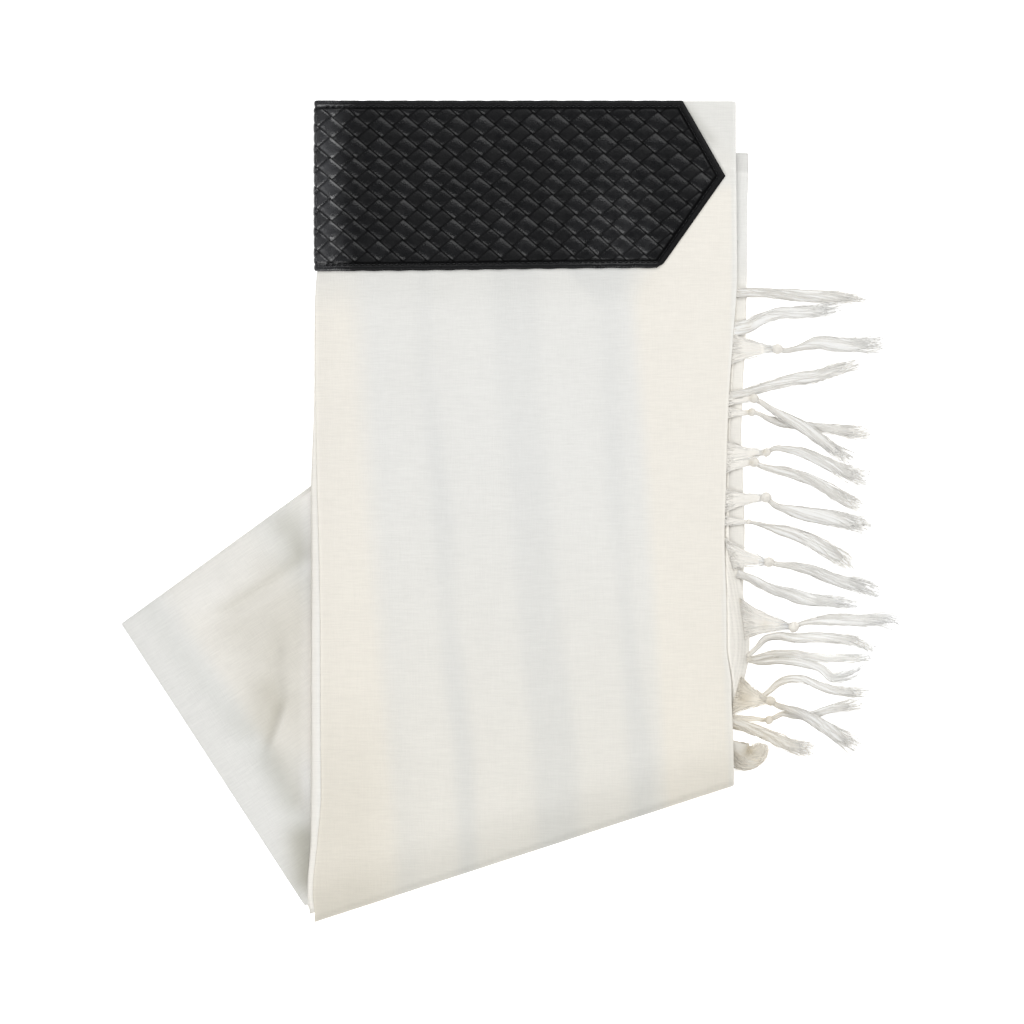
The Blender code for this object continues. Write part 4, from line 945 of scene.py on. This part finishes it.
def capsules(middles, ahead, up, length, radius, rings=6, around=7):
    """Rounded pegs at many places at once: circles along each peg, whose radius follows an ellipse."""
    run = np.linspace(-1.0, 1.0, rings) * 0.94
    turn = np.arange(around) * 2 * math.pi / around
    side = np.cross(up, ahead)
    girth = radius * np.sqrt(1.0 - run**2) ** 0.7
    centre = middles[:, None] + ahead[:, None] * (run * length / 2)[None, :, None]
    ring = np.cos(turn)[:, None] * side[:, None, None, :] + np.sin(turn)[:, None] * up[:, None, None, :]
    points = centre[:, :, None, :] + ring * girth[None, :, None, None]
    index = np.arange(points[..., 0].size).reshape(points.shape[:3])
    quads = tube_quads(index)[:, (0, 3, 2, 1)]
    fan = np.arange(1, around - 1)
    caps = []
    for end, flip in ((0, True), (rings - 1, False)):
        ring_index = index[:, end]
        first = np.repeat(ring_index[:, :1], len(fan), axis=1)
        tris = np.stack((first, ring_index[:, fan], ring_index[:, fan + 1]), -1).reshape(-1, 3)
        caps.append(tris[:, ::-1] if flip else tris)
    return points.reshape(-1, 3), quads, np.concatenate(caps)


def inset_run(start, end):
    """Stitch places between two corners of the stitch line, a pitch apart, and the way they run."""
    length = np.linalg.norm(end - start)
    number = int(length / STITCH_PITCH)
    share = (np.arange(number) + 0.5) / number
    return start + (end - start) * share[:, None], np.broadcast_to((end - start) / length, (number, 2))


low = BAND_WIDTH - STITCH_INSET
stitch_corners = np.array((
    (4.0, STITCH_INSET), (point_line(STITCH_INSET, STITCH_INSET), STITCH_INSET),
    (point_line(BAND_TIP[1], STITCH_INSET), BAND_TIP[1]), (point_line(low, STITCH_INSET), low), (4.0, low),
))
places, ways = zip(*(inset_run(a, b) for a, b in zip(stitch_corners[:-1], stitch_corners[1:])))
places, ways = np.concatenate(places), np.concatenate(ways)
narrow = narrowed(places[:, 0])
stitch_height = np.full(len(places), LEATHER - 0.05)
middles = band_place(places[:, 0], places[:, 1] * narrow, stitch_height)
ahead_place = places + ways * 0.5
ahead = unit(band_place(ahead_place[:, 0], ahead_place[:, 1] * narrow, stitch_height) - middles)
up = unit(np.cross(np.cross(ahead, np.array((0.0, 0.0, 1.0))), ahead))
points, quads, tris = capsules(middles, ahead, up, STITCH_LENGTH, STITCH_RADIUS)
stitch_tones = np.full((len(points), 3), 1.15)
stitching = add_piece("band_stitching", points, quads, leather, stitch_tones, tris)
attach(stitching, "root")

# ------------------------------------------------------------------------------
# The fringe. The cloth's own threads, gathered from its end into a cone, most of them tied in a thumb knot,
# and left loose beyond it in flattened, slightly twisted locks that fray at their tips.
# ------------------------------------------------------------------------------
THREAD = 0.25               # its radius
LOCK_STATIONS = 30          # points along each loose thread
LOCK_THICKNESS = 1.0        # half its height
HOOPS, CROSSING_HOOPS = 9, 3    # round a knot
THREAD_WHITE = np.array((0.88, 0.878, 0.858))
THREAD_CREAM = np.array((0.89, 0.86, 0.80))
# Each lock: the CAD node it stands for, where it leaves the cloth (y, width), its knot (x, y, radius) or
# None, its route, its half widths along the route, threads, and how far it is lifted over another lock
LOCKS = (
    ("tassel_01", (126.7, 5.4), None,
     ((128.5, 126.9), (144.7, 127.0), (169.1, 125.3), (191.1, 124.4), (205.6, 122.7)),
     (2.7, 2.8, 3.6, 3.9, 2.4), 78, 0.0),
    ("tassel_02", (106.3, 8.4), None,
     ((126.6, 105.4), (138.3, 108.0), (145.9, 112.0), (156.3, 115.0), (166.2, 115.3), (176.6, 116.4),
      (192.3, 119.4)),
     (4.2, 4.0, 3.6, 3.6, 3.9, 3.4, 3.2), 78, 0.0),
    ("tassel_03", (94.3, 19.7), (154.9, 94.3, 3.0),
     ((158.6, 93.4), (166.2, 94.5), (177.8, 97.5), (190.0, 96.9), (203.9, 96.2), (216.0, 96.6)),
     (1.5, 3.4, 4.3, 4.1, 4.5, 5.2), 84, 0.0),
    ("tassel_04", (68.9, 5.0), None,
     ((126.5, 67.4), (138.0, 69.4), (145.3, 71.6), (155.7, 74.2), (166.2, 76.9), (176.0, 78.3),
      (190.0, 82.7), (203.0, 86.5)),
     (2.2, 2.4, 2.9, 3.5, 3.8, 3.5, 3.6, 3.4), 74, 0.0),
    ("tassel_05", (64.6, 7.0), (141.2, 65.6, 2.7),
     ((144.1, 64.1), (148.8, 61.0), (159.2, 54.8), (169.7, 49.0), (179.5, 42.1), (190.0, 34.8),
      (198.1, 29.5)),
     (1.5, 2.7, 3.3, 3.4, 3.6, 3.7, 3.4), 78, 2.6),
    ("tassel_06", (57.2, 7.0), (139.9, 57.6, 2.4),
     ((143.4, 57.0), (148.8, 54.2), (155.7, 51.9), (166.2, 50.3), (172.6, 49.8), (183.0, 48.4),
      (196.9, 46.3), (208.5, 45.3)),
     (1.4, 2.4, 2.7, 2.6, 2.8, 3.4, 4.0, 3.4), 70, 0.0),
    ("tassel_07", (34.0, 15.0), (148.5, 34.3, 2.5),
     ((152.3, 36.4), (162.7, 35.7), (172.6, 32.8), (183.0, 28.1), (193.4, 22.9), (207.0, 17.5)),
     (1.5, 3.0, 3.5, 3.8, 4.4, 6.0), 80, 0.0),
    ("tassel_08", (26.2, 9.0), (141.2, 28.6, 2.9),
     ((144.7, 26.6), (152.3, 24.5), (162.7, 22.3), (172.6, 18.9), (183.0, 13.6), (193.4, 8.0),
      (204.0, 3.4)),
     (1.6, 3.0, 3.3, 3.5, 3.7, 3.8, 3.6), 78, 0.0),
    ("tassel_09", (6.4, 14.5), (148.2, 8.2, 3.1),
     ((152.4, 4.4), (162.7, 0.6), (172.6, -1.6), (183.0, -3.2), (193.4, -5.2), (208.7, -9.6)),
     (1.7, 4.0, 4.6, 4.8, 5.0, 4.6), 96, 0.0),
    ("tassel_10", (-5.4, 6.0), (138.2, -6.0, 1.7),
     ((141.0, -6.6), (152.3, -9.6), (162.7, -12.4), (172.6, -16.2), (181.0, -20.8), (190.0, -25.8),
      (200.0, -33.5)),
     (1.3, 3.0, 3.7, 4.3, 4.8, 5.2, 4.6), 66, 0.0),
    ("tassel_11", (-24.7, 18.5), (149.9, -29.3, 3.0),
     ((154.2, -30.5), (162.7, -31.6), (172.6, -33.4), (183.0, -37.4), (193.4, -40.9), (203.9, -43.2),
      (214.0, -46.9)),
     (1.5, 3.1, 3.3, 3.5, 4.2, 4.8, 4.4), 82, 0.0),
    ("tassel_12", (-38.8, 5.0), None,
     ((131.4, -35.8), (141.0, -39.6), (146.0, -42.4), (152.3, -45.0), (162.7, -47.9), (172.6, -50.8),
      (183.0, -51.9), (193.4, -53.1), (201.0, -54.2)),
     (2.2, 2.3, 2.6, 3.3, 4.2, 3.9, 3.3, 3.2, 2.8), 78, 0.0),
    ("tassel_13", (-62.2, 25.0), (164.3, -67.0, 3.1),
     ((168.2, -65.4), (179.5, -63.3), (190.0, -62.9), (203.9, -62.9), (217.2, -62.9), (225.2, -64.8)),
     (1.5, 3.2, 3.6, 3.7, 3.9, 3.6), 82, 0.0),
    ("tassel_14", (-81.0, 4.0), None,
     ((137.4, -84.2), (142.4, -79.2), (148.0, -73.6), (155.0, -72.0), (164.0, -73.4), (176.0, -72.9),
      (190.0, -73.6), (203.9, -76.0), (210.5, -79.6)),
     (1.1, 1.6, 2.0, 2.4, 2.9, 3.0, 3.4, 3.8, 2.8), 60, 1.6),
    ("tassel_15", (-84.9, 3.6), None,
     ((137.2, -85.3), (142.4, -84.9), (150.0, -82.9), (162.7, -82.3), (176.0, -84.6), (190.0, -85.2),
      (208.5, -84.4)),
     (1.1, 1.7, 2.3, 2.5, 2.8, 3.2, 2.6), 54, 0.0),
    ("tassel_16", (-88.8, 3.6), None,
     ((137.2, -86.3), (144.0, -87.5), (154.0, -86.6), (167.9, -87.6), (179.5, -90.8), (186.5, -96.2),
      (196.9, -94.2), (206.0, -89.4)),
     (1.0, 1.7, 2.0, 2.3, 2.6, 2.7, 2.9, 2.6), 50, 0.0),
    ("tassel_17", (-107.0, 24.0), (150.9, -109.9, 2.8),
     ((154.6, -112.2), (160.0, -114.0), (166.2, -116.0), (176.0, -121.0), (186.5, -127.7), (201.5, -137.0)),
     (1.7, 2.6, 3.6, 4.2, 4.8, 6.2), 92, 3.0),
    ("tassel_18", (-100.0, 5.0), None,
     ((144.8, -108.0), (149.2, -105.0), (154.6, -100.1), (162.7, -97.0), (169.7, -97.2), (179.5, -101.2),
      (190.0, -104.1), (201.0, -105.4), (209.1, -105.8)),
     (1.3, 1.5, 1.9, 2.2, 2.3, 2.3, 2.5, 2.7, 3.0, 2.6), 50, 0.9),
    ("tassel_19", (-119.6, 4.0), (149.9, -120.9, 2.4),
     ((152.9, -119.6), (157.0, -117.6), (163.0, -118.0), (171.0, -118.6), (183.0, -115.3),
      (193.4, -113.2), (203.9, -111.4)),
     (1.3, 1.9, 2.1, 2.2, 2.6, 3.2, 3.8), 56, 0.0),
    ("tassel_20", (-123.0, 6.4), None,
     ((126.4, -122.0), (138.3, -125.4), (148.8, -129.4), (157.0, -133.2), (165.0, -136.2), (176.0, -139.0)),
     (3.2, 3.3, 3.4, 3.8, 4.8, 6.6), 84, 0.0),
    ("tassel_21", (-131.5, 6.0), None,
     ((126.0, -135.0), (130.8, -139.4), (135.8, -142.0), (140.4, -141.9), (144.0, -139.0), (145.6, -134.4)),
     (3.4, 6.6, 8.4, 7.8, 5.4, 3.2), 190, 0.0),
)

# Hollows among the gathered threads, where shade is painted in: (x, y, radius, depth)
HOLLOWS = np.array((
    (138.0, -138.8, 3.6, 0.30), (130.6, -126.6, 1.8, 0.28), (133.0, -51.3, 1.2, 0.26),
    (147.6, -65.6, 2.4, 0.12), (138.5, -85.5, 1.4, 0.22), (149.6, -111.4, 1.6, 0.16),
    (147.4, -120.4, 2.0, 0.20), (135.5, -108.3, 4.2, 0.19), (147.6, -131.1, 1.5, 0.18),
    (138.5, 107.5, 3.0, 0.08), (138.4, 58.4, 1.7, 0.20), (140.0, 66.4, 1.8, 0.10),
    (147.4, 34.8, 1.5, 0.14), (140.0, 28.4, 1.6, 0.14), (133.4, -100.0, 3.0, 0.07),
    (132.0, -141.0, 2.6, 0.08), (143.0, -145.0, 3.0, 0.06),
))


def with_painted_hollow_shade(points, tones):
    """Tones darkened and warmed by painted shade in the hollows, each fading out as a bell of its radius.
    The lowest locks are darker and warmer near the cloth, and those above them paler out along their length."""
    away = np.linalg.norm(points[:, None, :2] - HOLLOWS[None, :, :2], axis=-1)
    depth = (HOLLOWS[:, 3] * np.exp(-((away / HOLLOWS[:, 2]) ** 2))).sum(axis=1)
    x, y = points[:, 0], points[:, 1]
    low_near_cloth = smooth_step(-y, 52.0, 112.0) * (1.0 - smooth_step(x, 152.0, 172.0))
    pale = smooth_step(-y, 42.0, 56.0) * smooth_step(y, -112.0, -98.0) * smooth_step(x, 154.0, 170.0)
    tones = tones * (1.0 - low_near_cloth[:, None] * np.array((0.06, 0.09, 0.15)) + 0.07 * pale[:, None])
    return np.minimum(tones * (1.0 - depth[:, None] * np.array((0.8, 0.95, 1.25))), 0.95)


def lying_on(plan):
    """Height of what the fringe lies on: the fringed end, the layer turned back, then the surface."""
    plan = np.asarray(plan)
    on_back = 3.4 * (1.0 - smooth_step(past(TURNED_BACK, plan), 0.5, 12.0))
    return 0.3 + on_back + (1.0 - smooth_step(past(FRINGED, plan), -2.0, 3.0))


def curve_through(points, shares):
    """A smooth curve through the points, read at shares of its length: a cubic between each two, its slopes
    those of their neighbours."""
    points = np.asarray(points, float)
    steps = np.linalg.norm(np.diff(points, axis=0), axis=1)
    knots = np.concatenate(((0.0,), np.cumsum(steps))) / steps.sum()
    slopes = np.gradient(points, knots, axis=0)
    start = np.clip(np.searchsorted(knots, shares, side="right") - 1, 0, len(knots) - 2)
    span = (knots[start + 1] - knots[start])[..., None]
    t = (shares - knots[start])[..., None] / span
    rise = points[start + 1] - points[start]
    into, out_of = slopes[start] * span, slopes[start + 1] * span
    return cubic(points[start], rise, into, out_of, t)


def tubes(lines, radii, spin):
    """Three-sided threads along many lines at once, (threads, stations, 3), with a radius at each station.
    Each ring is square to its line, turned by the thread's own spin, and both ends are closed."""
    ahead = unit(np.gradient(lines, axis=1))
    side = unit(np.cross(ahead, np.array((0.0, 0.0, 1.0))))
    up = np.cross(side, ahead)
    turn = (np.arange(3) * 2 * math.pi / 3 + spin[:, None])[:, None, :, None]
    ring = np.cos(turn) * side[:, :, None, :] + np.sin(turn) * up[:, :, None, :]
    points = lines[:, :, None, :] + ring * radii[:, :, None, None]
    index = np.arange(points[..., 0].size).reshape(points.shape[:3])
    return points.reshape(-1, 3), tube_quads(index), np.concatenate((index[:, 0], index[:, -1, ::-1]))


def hoops(centres, normals, radii, thickness, stations=22):
    """Closed loops of thread: circles of the given radii about their centres, square to their normals."""
    helper = np.where(np.abs(normals[:, 2:]) > 0.9, np.array((1.0, 0.0, 0.0)), np.array((0.0, 0.0, 1.0)))
    side = unit(np.cross(normals, helper))
    other = np.cross(normals, side)
    angle = np.arange(stations) * 2 * math.pi / stations
    out = np.cos(angle)[None, :, None] * side[:, None] + np.sin(angle)[None, :, None] * other[:, None]
    turn = np.arange(5) * 2 * math.pi / 5
    over = np.sin(turn)[None, None, :, None] * normals[:, None, None]
    ring = np.cos(turn)[None, None, :, None] * out[:, :, None] + over
    points = (centres[:, None] + out * radii[:, None, None])[:, :, None] + ring * thickness
    index = np.arange(points[..., 0].size).reshape(points.shape[:3])
    ahead, around = np.roll(index, -1, axis=1), np.roll(index, -1, axis=2)
    both = np.roll(ahead, -1, axis=2)
    quads = np.stack((index, ahead, both, around), -1).reshape(-1, 4)
    return points.reshape(-1, 3), quads, np.empty((0, 3), int)


def ball(centre, radius, rows=12, columns=18):
    """A closed ball: circles from pole to pole, and one point at each."""
    tilt = np.linspace(0.0, math.pi, rows)[1:-1]
    turn = np.arange(columns) * 2 * math.pi / columns
    rings = np.stack((
        np.sin(tilt)[:, None] * np.cos(turn), np.sin(tilt)[:, None] * np.sin(turn),
        np.cos(tilt)[:, None] * np.ones_like(turn),
    ), -1)
    points = np.concatenate((rings.reshape(-1, 3), ((0.0, 0.0, 1.0), (0.0, 0.0, -1.0)))) * radius + centre
    index = np.arange(len(tilt) * columns).reshape(len(tilt), columns)
    top, bottom = len(tilt) * columns, len(tilt) * columns + 1
    caps = np.concatenate((
        np.column_stack((np.full(columns, top), index[0], np.roll(index[0], -1))),
        np.column_stack((np.full(columns, bottom), np.roll(index[-1], -1), index[-1])),
    ))
    return points, tube_quads(index), caps


def fringe_thread(name):
    """Soft unbleached thread: the piece's own tone, with fine noise along it."""
    made, shader, place, tone = material(name)
    fuzz = shader_node(made, "TexNoise", {"Vector": place, "Scale": 900.0, "Detail": 2.0}, "Fac")
    share = shader_node(made, "MapRange", {"Value": fuzz, "To Min": 0.95, "To Max": 1.04})
    colour = {0: tone.outputs["Color"], "Scale": share}
    set_inputs(made, shader, {
        "Base Color": shader_node(made, "VectorMath", colour, operation="SCALE"), "Roughness": 0.7,
        "Specular IOR Level": 0.3, "Sheen Weight": 0.4, "Sheen Roughness": 0.5,
    })
    return made


def lock_height(shares, raised):
    """Half the thickness of a lock along it, and how far it is lifted over the one it crosses."""
    thick = LOCK_THICKNESS * np.interp(shares, (0.0, 0.25, 0.7, 1.0), (1.0, 1.1, 0.85, 0.45))
    return thick, raised * smooth_step(shares, 0.0, 0.25) * (1.0 - smooth_step(shares, 0.55, 0.95))


def tucked(plan, height):
    """Heights of the fringe kept under the front stretch's right edge, and free of it further out."""
    out = past(FRONT_RIGHT, plan)
    return np.minimum(height, strip_top(plan) - CLOTH - 0.35 + 1.3 * np.maximum(out - 0.6, 0.0))


def risen(plan):
    """How much higher the gathered threads lie beside the front stretch: a bell over its edge."""
    return 0.65 * np.exp(-(((past(FRONT_RIGHT, plan) - 1.0) / 2.0) ** 2))


def beside(centre):
    """Level directions square to a line of plan points."""
    ahead = unit(np.gradient(centre, axis=-2))
    return np.stack((-ahead[..., 1], ahead[..., 0]), -1)


def swaying(shares, slowest, fastest, threads, draw, starts=6.3):
    """A sine wave along each thread, with its own rate and its own start."""
    rates = draw.uniform(slowest, fastest, threads)[:, None]
    return np.sin(shares * rates + draw.uniform(0, starts, threads)[:, None])


def lock_threads(route, half_widths, threads, lifted, draw):
    """Threads of a loose lock. Each keeps its own place near the outside of the lock's flattened section,
    which turns slowly along it, and wanders a little by two sine waves; near the tip it strays to one side
    in a slow bend, and the threads end at different lengths."""
    share = np.linspace(0.0, 1.0, LOCK_STATIONS)
    length = 1.02 - 0.2 * draw.random(threads) ** 1.4
    shares = share[None, :] * length[:, None]
    centre = curve_through(route, np.minimum(shares, 1.0))
    centre += (centre[:, -1:] - centre[:, -2:-1]) * np.maximum(shares - 1.0, 0.0)[..., None] * LOCK_STATIONS
    aside = beside(centre)
    half = np.interp(shares, np.linspace(0.0, 1.0, len(half_widths)), half_widths)
    outward = draw.random(threads)[:, None] ** 0.35
    start = draw.uniform(0.0, 2 * math.pi, threads)[:, None]
    twist = draw.normal(1.0, 0.6, threads)[:, None]
    angle = start + twist * shares * 2.0
    frayed = smooth_step(shares, 0.62, 1.0)
    bend = swaying(shares, 6.0, 16.0, threads, draw)
    stray = (draw.normal(0.0, 1.15, threads)[:, None] + 0.8 * bend) * frayed
    wander = 0.32 * swaying(shares, 8.0, 15.0, threads, draw)
    wander = (wander + 0.14 * swaying(shares, 22.0, 40.0, threads, draw)) * smooth_step(shares, 0.0, 0.15)
    sideways = half * outward * np.cos(angle) + wander + stray
    plan = centre + aside * sideways[..., None]
    thick, raised = lock_height(shares, lifted)
    height = lying_on(plan) + raised + thick * (1.0 + outward * np.sin(angle)) + 0.15
    return with_height(plan, tucked(plan, height))


def closed_rings(rings):
    """A tube through rings of points, (stations, around, 3), closed at both ends by fans."""
    stations, around = rings.shape[:2]
    index = np.arange(stations * around).reshape(stations, around)
    quads = tube_quads(index)[:, ::-1]
    fan = np.arange(1, around - 1)
    first, last = index[0], index[-1]
    tris = np.concatenate((
        np.column_stack((np.full(len(fan), first[0]), first[fan + 1], first[fan])),
        np.column_stack((np.full(len(fan), last[0]), last[fan], last[fan + 1])),
    ))
    return rings.reshape(-1, 3), quads, tris


def lock_core(route, half_widths, lifted):
    """The threads packed inside a lock, as one flattened tube along it: ellipses that shrink away at its
    frayed tip."""
    around = 12
    shares = np.linspace(0.0, 0.86, 27)
    centre = curve_through(route, shares)
    half = np.interp(shares, np.linspace(0.0, 1.0, len(half_widths)), half_widths)
    closing = np.sqrt(np.clip((0.875 - shares) / 0.25, 0.0, 1.0))
    thick, raised = lock_height(shares, lifted)
    turn = np.arange(around) * 2 * math.pi / around
    offset = 0.88 * (half * closing)[:, None] * np.cos(turn)
    plan = centre[:, None] + beside(centre)[:, None] * offset[..., None]
    middle = lying_on(centre) + raised + thick + 0.15
    height = middle[:, None] + 0.9 * (thick * closing)[:, None] * np.sin(turn)
    return closed_rings(with_height(plan, tucked(plan, height)))


def cone_web(cloth_y, width, knot):
    """The body of the threads between the cloth's end and a knot: a thin lens at each station, from the
    outermost thread on one side to that on the other, closed at both ends by fans."""
    around, stations = 16, 12
    share = np.linspace(0.0, 1.0, stations)[:, None]
    turn = np.arange(around) * 2 * math.pi / around
    spread = 0.5 * np.cos(turn)
    y = cloth_y + 0.95 * width * spread
    root = np.stack((edge_at(FRINGED, y) - 2.4, y), -1)
    end = np.stack((np.full(around, knot[0]), knot[1] + 0.9 * knot[2] * spread), -1)
    plan = root + (end - root) * share[..., None]
    plan[..., 1] -= 0.12 * width * np.sin(share * math.pi) * spread
    body = 0.06 + 0.34 * smooth_step(share, 0.0, 0.3)
    height = lying_on(plan) + 0.25 + body * (1.0 + np.sin(turn))
    height = height + 0.75 * knot[2] * smooth_step(share, 0.55, 1.0) + risen(plan)
    return closed_rings(with_height(plan, tucked(plan, height)))


def cone_threads(cloth_y, width, knot, threads, draw):
    """Threads from the cloth's end to a knot: a little slack, some crossing, drawn together near it."""
    stations = 12
    share = np.linspace(0.0, 1.0, stations)[None, :]
    spread = (np.arange(threads) + draw.random(threads)) / threads - 0.5
    y = cloth_y + width * spread
    root = np.stack((edge_at(FRINGED, y) - 2.6, y, 4.6 + 0.5 * draw.random(threads)), -1)
    end_y = knot[1] + knot[2] * (0.85 * spread + draw.normal(0.0, 0.2, threads))
    end_z = lying_on(knot) + knot[2] * (1.0 + 0.4 * draw.uniform(-1.0, 1.0, threads))
    end = np.stack((np.full(threads, knot[0] - knot[2] * 0.35), end_y, end_z), -1)
    line = root[:, None] + (end - root)[:, None] * share[..., None]
    slack = np.sin(share * math.pi)
    line[..., 1] += slack * ((0.05 * width + 0.25) * draw.normal(0.0, 1.0, threads))[:, None]
    line[..., 1] -= 0.12 * width * slack * spread[:, None]
    line[..., 1] += 0.2 * swaying(share, 8, 20, threads, draw, 6)
    bed = lying_on(line) + 0.55 + 0.5 * draw.random(threads)[:, None] + risen(line)
    line[..., 2] = bed + np.maximum(line[..., 2] - bed, 0.0) * smooth_step(share, 0.6, 1.0)
    return line


def joined(parts):
    """Several meshes as one: their points and faces, with the faces' numbers counted on."""
    points, quads, tris = zip(*parts)
    before = np.cumsum([0] + [len(part) for part in points[:-1]])
    quads = np.concatenate([faces + first for faces, first in zip(quads, before)])
    tris = np.concatenate([faces + first for faces, first in zip(tris, before)])
    return np.concatenate(points), quads, tris


def drawn_threads(lines, brightness, warmth, draw):
    """Threads along lines, thinner at their tips, with their tones: each thread has its own, creamier near
    the cloth, a little darker along the middle, and painted lighter at the tip against the shade there."""
    along = np.linspace(0.0, 1.0, lines.shape[1])
    taper = np.interp(along, (0.0, 0.8, 1.0), (1.0, 0.9, 0.55))
    radii = THREAD * draw.uniform(0.75, 1.15, len(lines))[:, None] * taper
    part = tubes(lines, radii, draw.uniform(0.0, 2.1, len(lines)))
    near_root = warmth + (1.0 - warmth) * (1.0 - along) * draw.uniform(0.6, 1.0, len(lines))[:, None]
    painted_light_along = np.interp(along, (0.0, 0.15, 0.55, 1.0), (0.96, 0.93, 0.92, 1.06))
    shade = brightness * draw.uniform(0.94, 1.04, len(lines))[:, None, None] * painted_light_along[:, None]
    shade = shade * mixed(THREAD_WHITE, THREAD_CREAM, near_root)
    return part, np.repeat(shade.reshape(-1, 3), 3, axis=0)


def thumb_knot(knot, route):
    """The knot a lock is tied in: a ball wound round with hoops of thread, most of them one way and a few
    across. Each is square to its own line through the middle, and as wide as the ball is there."""
    x, y, radius = knot
    centre = np.array((x, y, lying_on(knot) + radius + 0.05))
    heading = np.array((*unit(np.array(route[1]) - np.array(route[0])), 0.0))
    aside = np.array((-heading[1], heading[0], 0.0))
    lean = unit(heading + np.array((0.0, 0.0, 0.25)) + 0.45 * aside)
    across = unit(heading - 0.9 * aside + np.array((0.0, 0.0, 0.3)))
    normals = np.repeat((lean, across), (HOOPS, CROSSING_HOOPS), axis=0)
    shift = np.concatenate((np.linspace(-0.8, 0.8, HOOPS), np.linspace(-0.2, 0.2, CROSSING_HOOPS)))
    wound = np.repeat((0.97, 1.05), (HOOPS, CROSSING_HOOPS))
    radii = radius * 0.94 * np.sqrt(np.maximum(wound**2 - shift**2, 0.05))
    centres = centre + normals * shift[:, None] * radius * 0.94
    return joined([ball(centre, radius * 0.92), hoops(centres, normals, radii, radius * 0.125)])


thread = fringe_thread("fringe thread")
for number, (node, (cloth_y, width), knot, route, half_widths, threads, lifted) in enumerate(LOCKS, 1):
    draw = np.random.default_rng(100 + number)
    # The lowest are creamiest, and the last is one curled bunch, its core painted darker as the shade inside
    # it
    warmth = draw.uniform(0.0, 0.5) if number < 20 else 0.7
    inside = 0.97 if number < 21 else 0.88
    if knot:
        route, half_widths = (knot[:2],) + route, (knot[2] * 0.45,) + half_widths
    parts, tones = [lock_core(route, half_widths, lifted)], [THREAD_WHITE * inside]
    if knot:
        parts.append(cone_web(cloth_y, width, knot))
        tones.append(THREAD_CREAM * 0.94)
    lines = [lock_threads(route, half_widths, threads, lifted, draw)]
    if knot:
        lines.append(cone_threads(cloth_y, width, knot, int(10 + 1.7 * width), draw))
    # Painted light: gathered threads are made paler than loose ones, against the shade among them
    for line, brightness in zip(lines, (0.985, 1.09)):
        part, part_tones = drawn_threads(line, brightness, warmth, draw)
        parts.append(part)
        tones.append(part_tones)
    if knot:
        parts.append(thumb_knot(knot, route))
        tones.append(THREAD_CREAM * 0.96)
    points, quads, tris = joined(parts)
    tones = np.concatenate([np.broadcast_to(tone, part[0].shape) for tone, part in zip(tones, parts)])
    lock = add_piece("fringe_lock_%02d" % number, points, quads, thread, with_painted_hollow_shade(points, tones), tris)
    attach(lock, "root")
    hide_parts(node)

# ------------------------------------------------------------------------------
# The surface it lies on: plain white and matt. Soft studio lights stand all round, the far one brightest,
# and the camera looks straight down without perspective.
# ------------------------------------------------------------------------------
VIEW_WIDTH = 0.59392        # what the square frame takes in

table_mesh = bpy.data.meshes.new("table")
table_corners = [(-6, -6, -0.0004), (6, -6, -0.0004), (6, 6, -0.0004), (-6, 6, -0.0004)]
table_mesh.from_pydata(table_corners, [], [(0, 1, 2, 3)])
table = bpy.data.objects.new("table", table_mesh)
bpy.context.scene.collection.objects.link(table)
white = bpy.data.materials.new("plain white surface")
white.use_nodes = True
paint = white.node_tree.nodes["Principled BSDF"]
paint.inputs["Base Color"].default_value = (0.93, 0.93, 0.93, 1.0)
paint.inputs["Roughness"].default_value = 0.9
paint.inputs["Specular IOR Level"].default_value = 0.1
paint.inputs["Emission Color"].default_value = (1.0, 1.0, 1.0, 1.0)
paint.inputs["Emission Strength"].default_value = 0.6
table_mesh.materials.append(white)


def softbox(name, place, aim, width, height, power):
    """A rectangular light at a place, turned to face the aim."""
    data = bpy.data.lights.new(name, "AREA")
    data.shape = "RECTANGLE"
    data.size, data.size_y, data.energy = width, height, power
    lamp = bpy.data.objects.new(name, data)
    bpy.context.scene.collection.objects.link(lamp)
    lamp.location = place
    lamp.rotation_euler = (Vector(place) - Vector(aim)).to_track_quat("Z", "Y").to_euler()


softbox("near softbox", (-0.38, -0.90, 1.25), (0.0, 0.03, 0.0), 0.9, 0.9, 11.8)
softbox("far softbox", (0.38, 1.02, 1.25), (0.0, 0.03, 0.0), 1.6, 1.2, 18.2)
softbox("left softbox", (-1.10, 0.10, 1.0), (0.0, 0.05, 0.0), 0.5, 0.5, 1.1)
softbox("right softbox", (1.10, 0.15, 1.1), (0.0, 0.03, 0.0), 0.9, 0.9, 3.2)
world = bpy.data.worlds.new("studio")
world.use_nodes = True
world.node_tree.nodes["Background"].inputs["Color"].default_value = (1.0, 1.0, 1.0, 1.0)
world.node_tree.nodes["Background"].inputs["Strength"].default_value = 0.2
bpy.context.scene.world = world
bpy.context.scene.view_settings.view_transform = "Standard"

lens = bpy.data.cameras.new("camera")
lens.type = "ORTHO"
lens.ortho_scale = VIEW_WIDTH
camera = bpy.data.objects.new("camera", lens)
camera.location = (0.00087, -0.00029, 1.5)
bpy.context.scene.collection.objects.link(camera)
bpy.context.scene.camera = camera
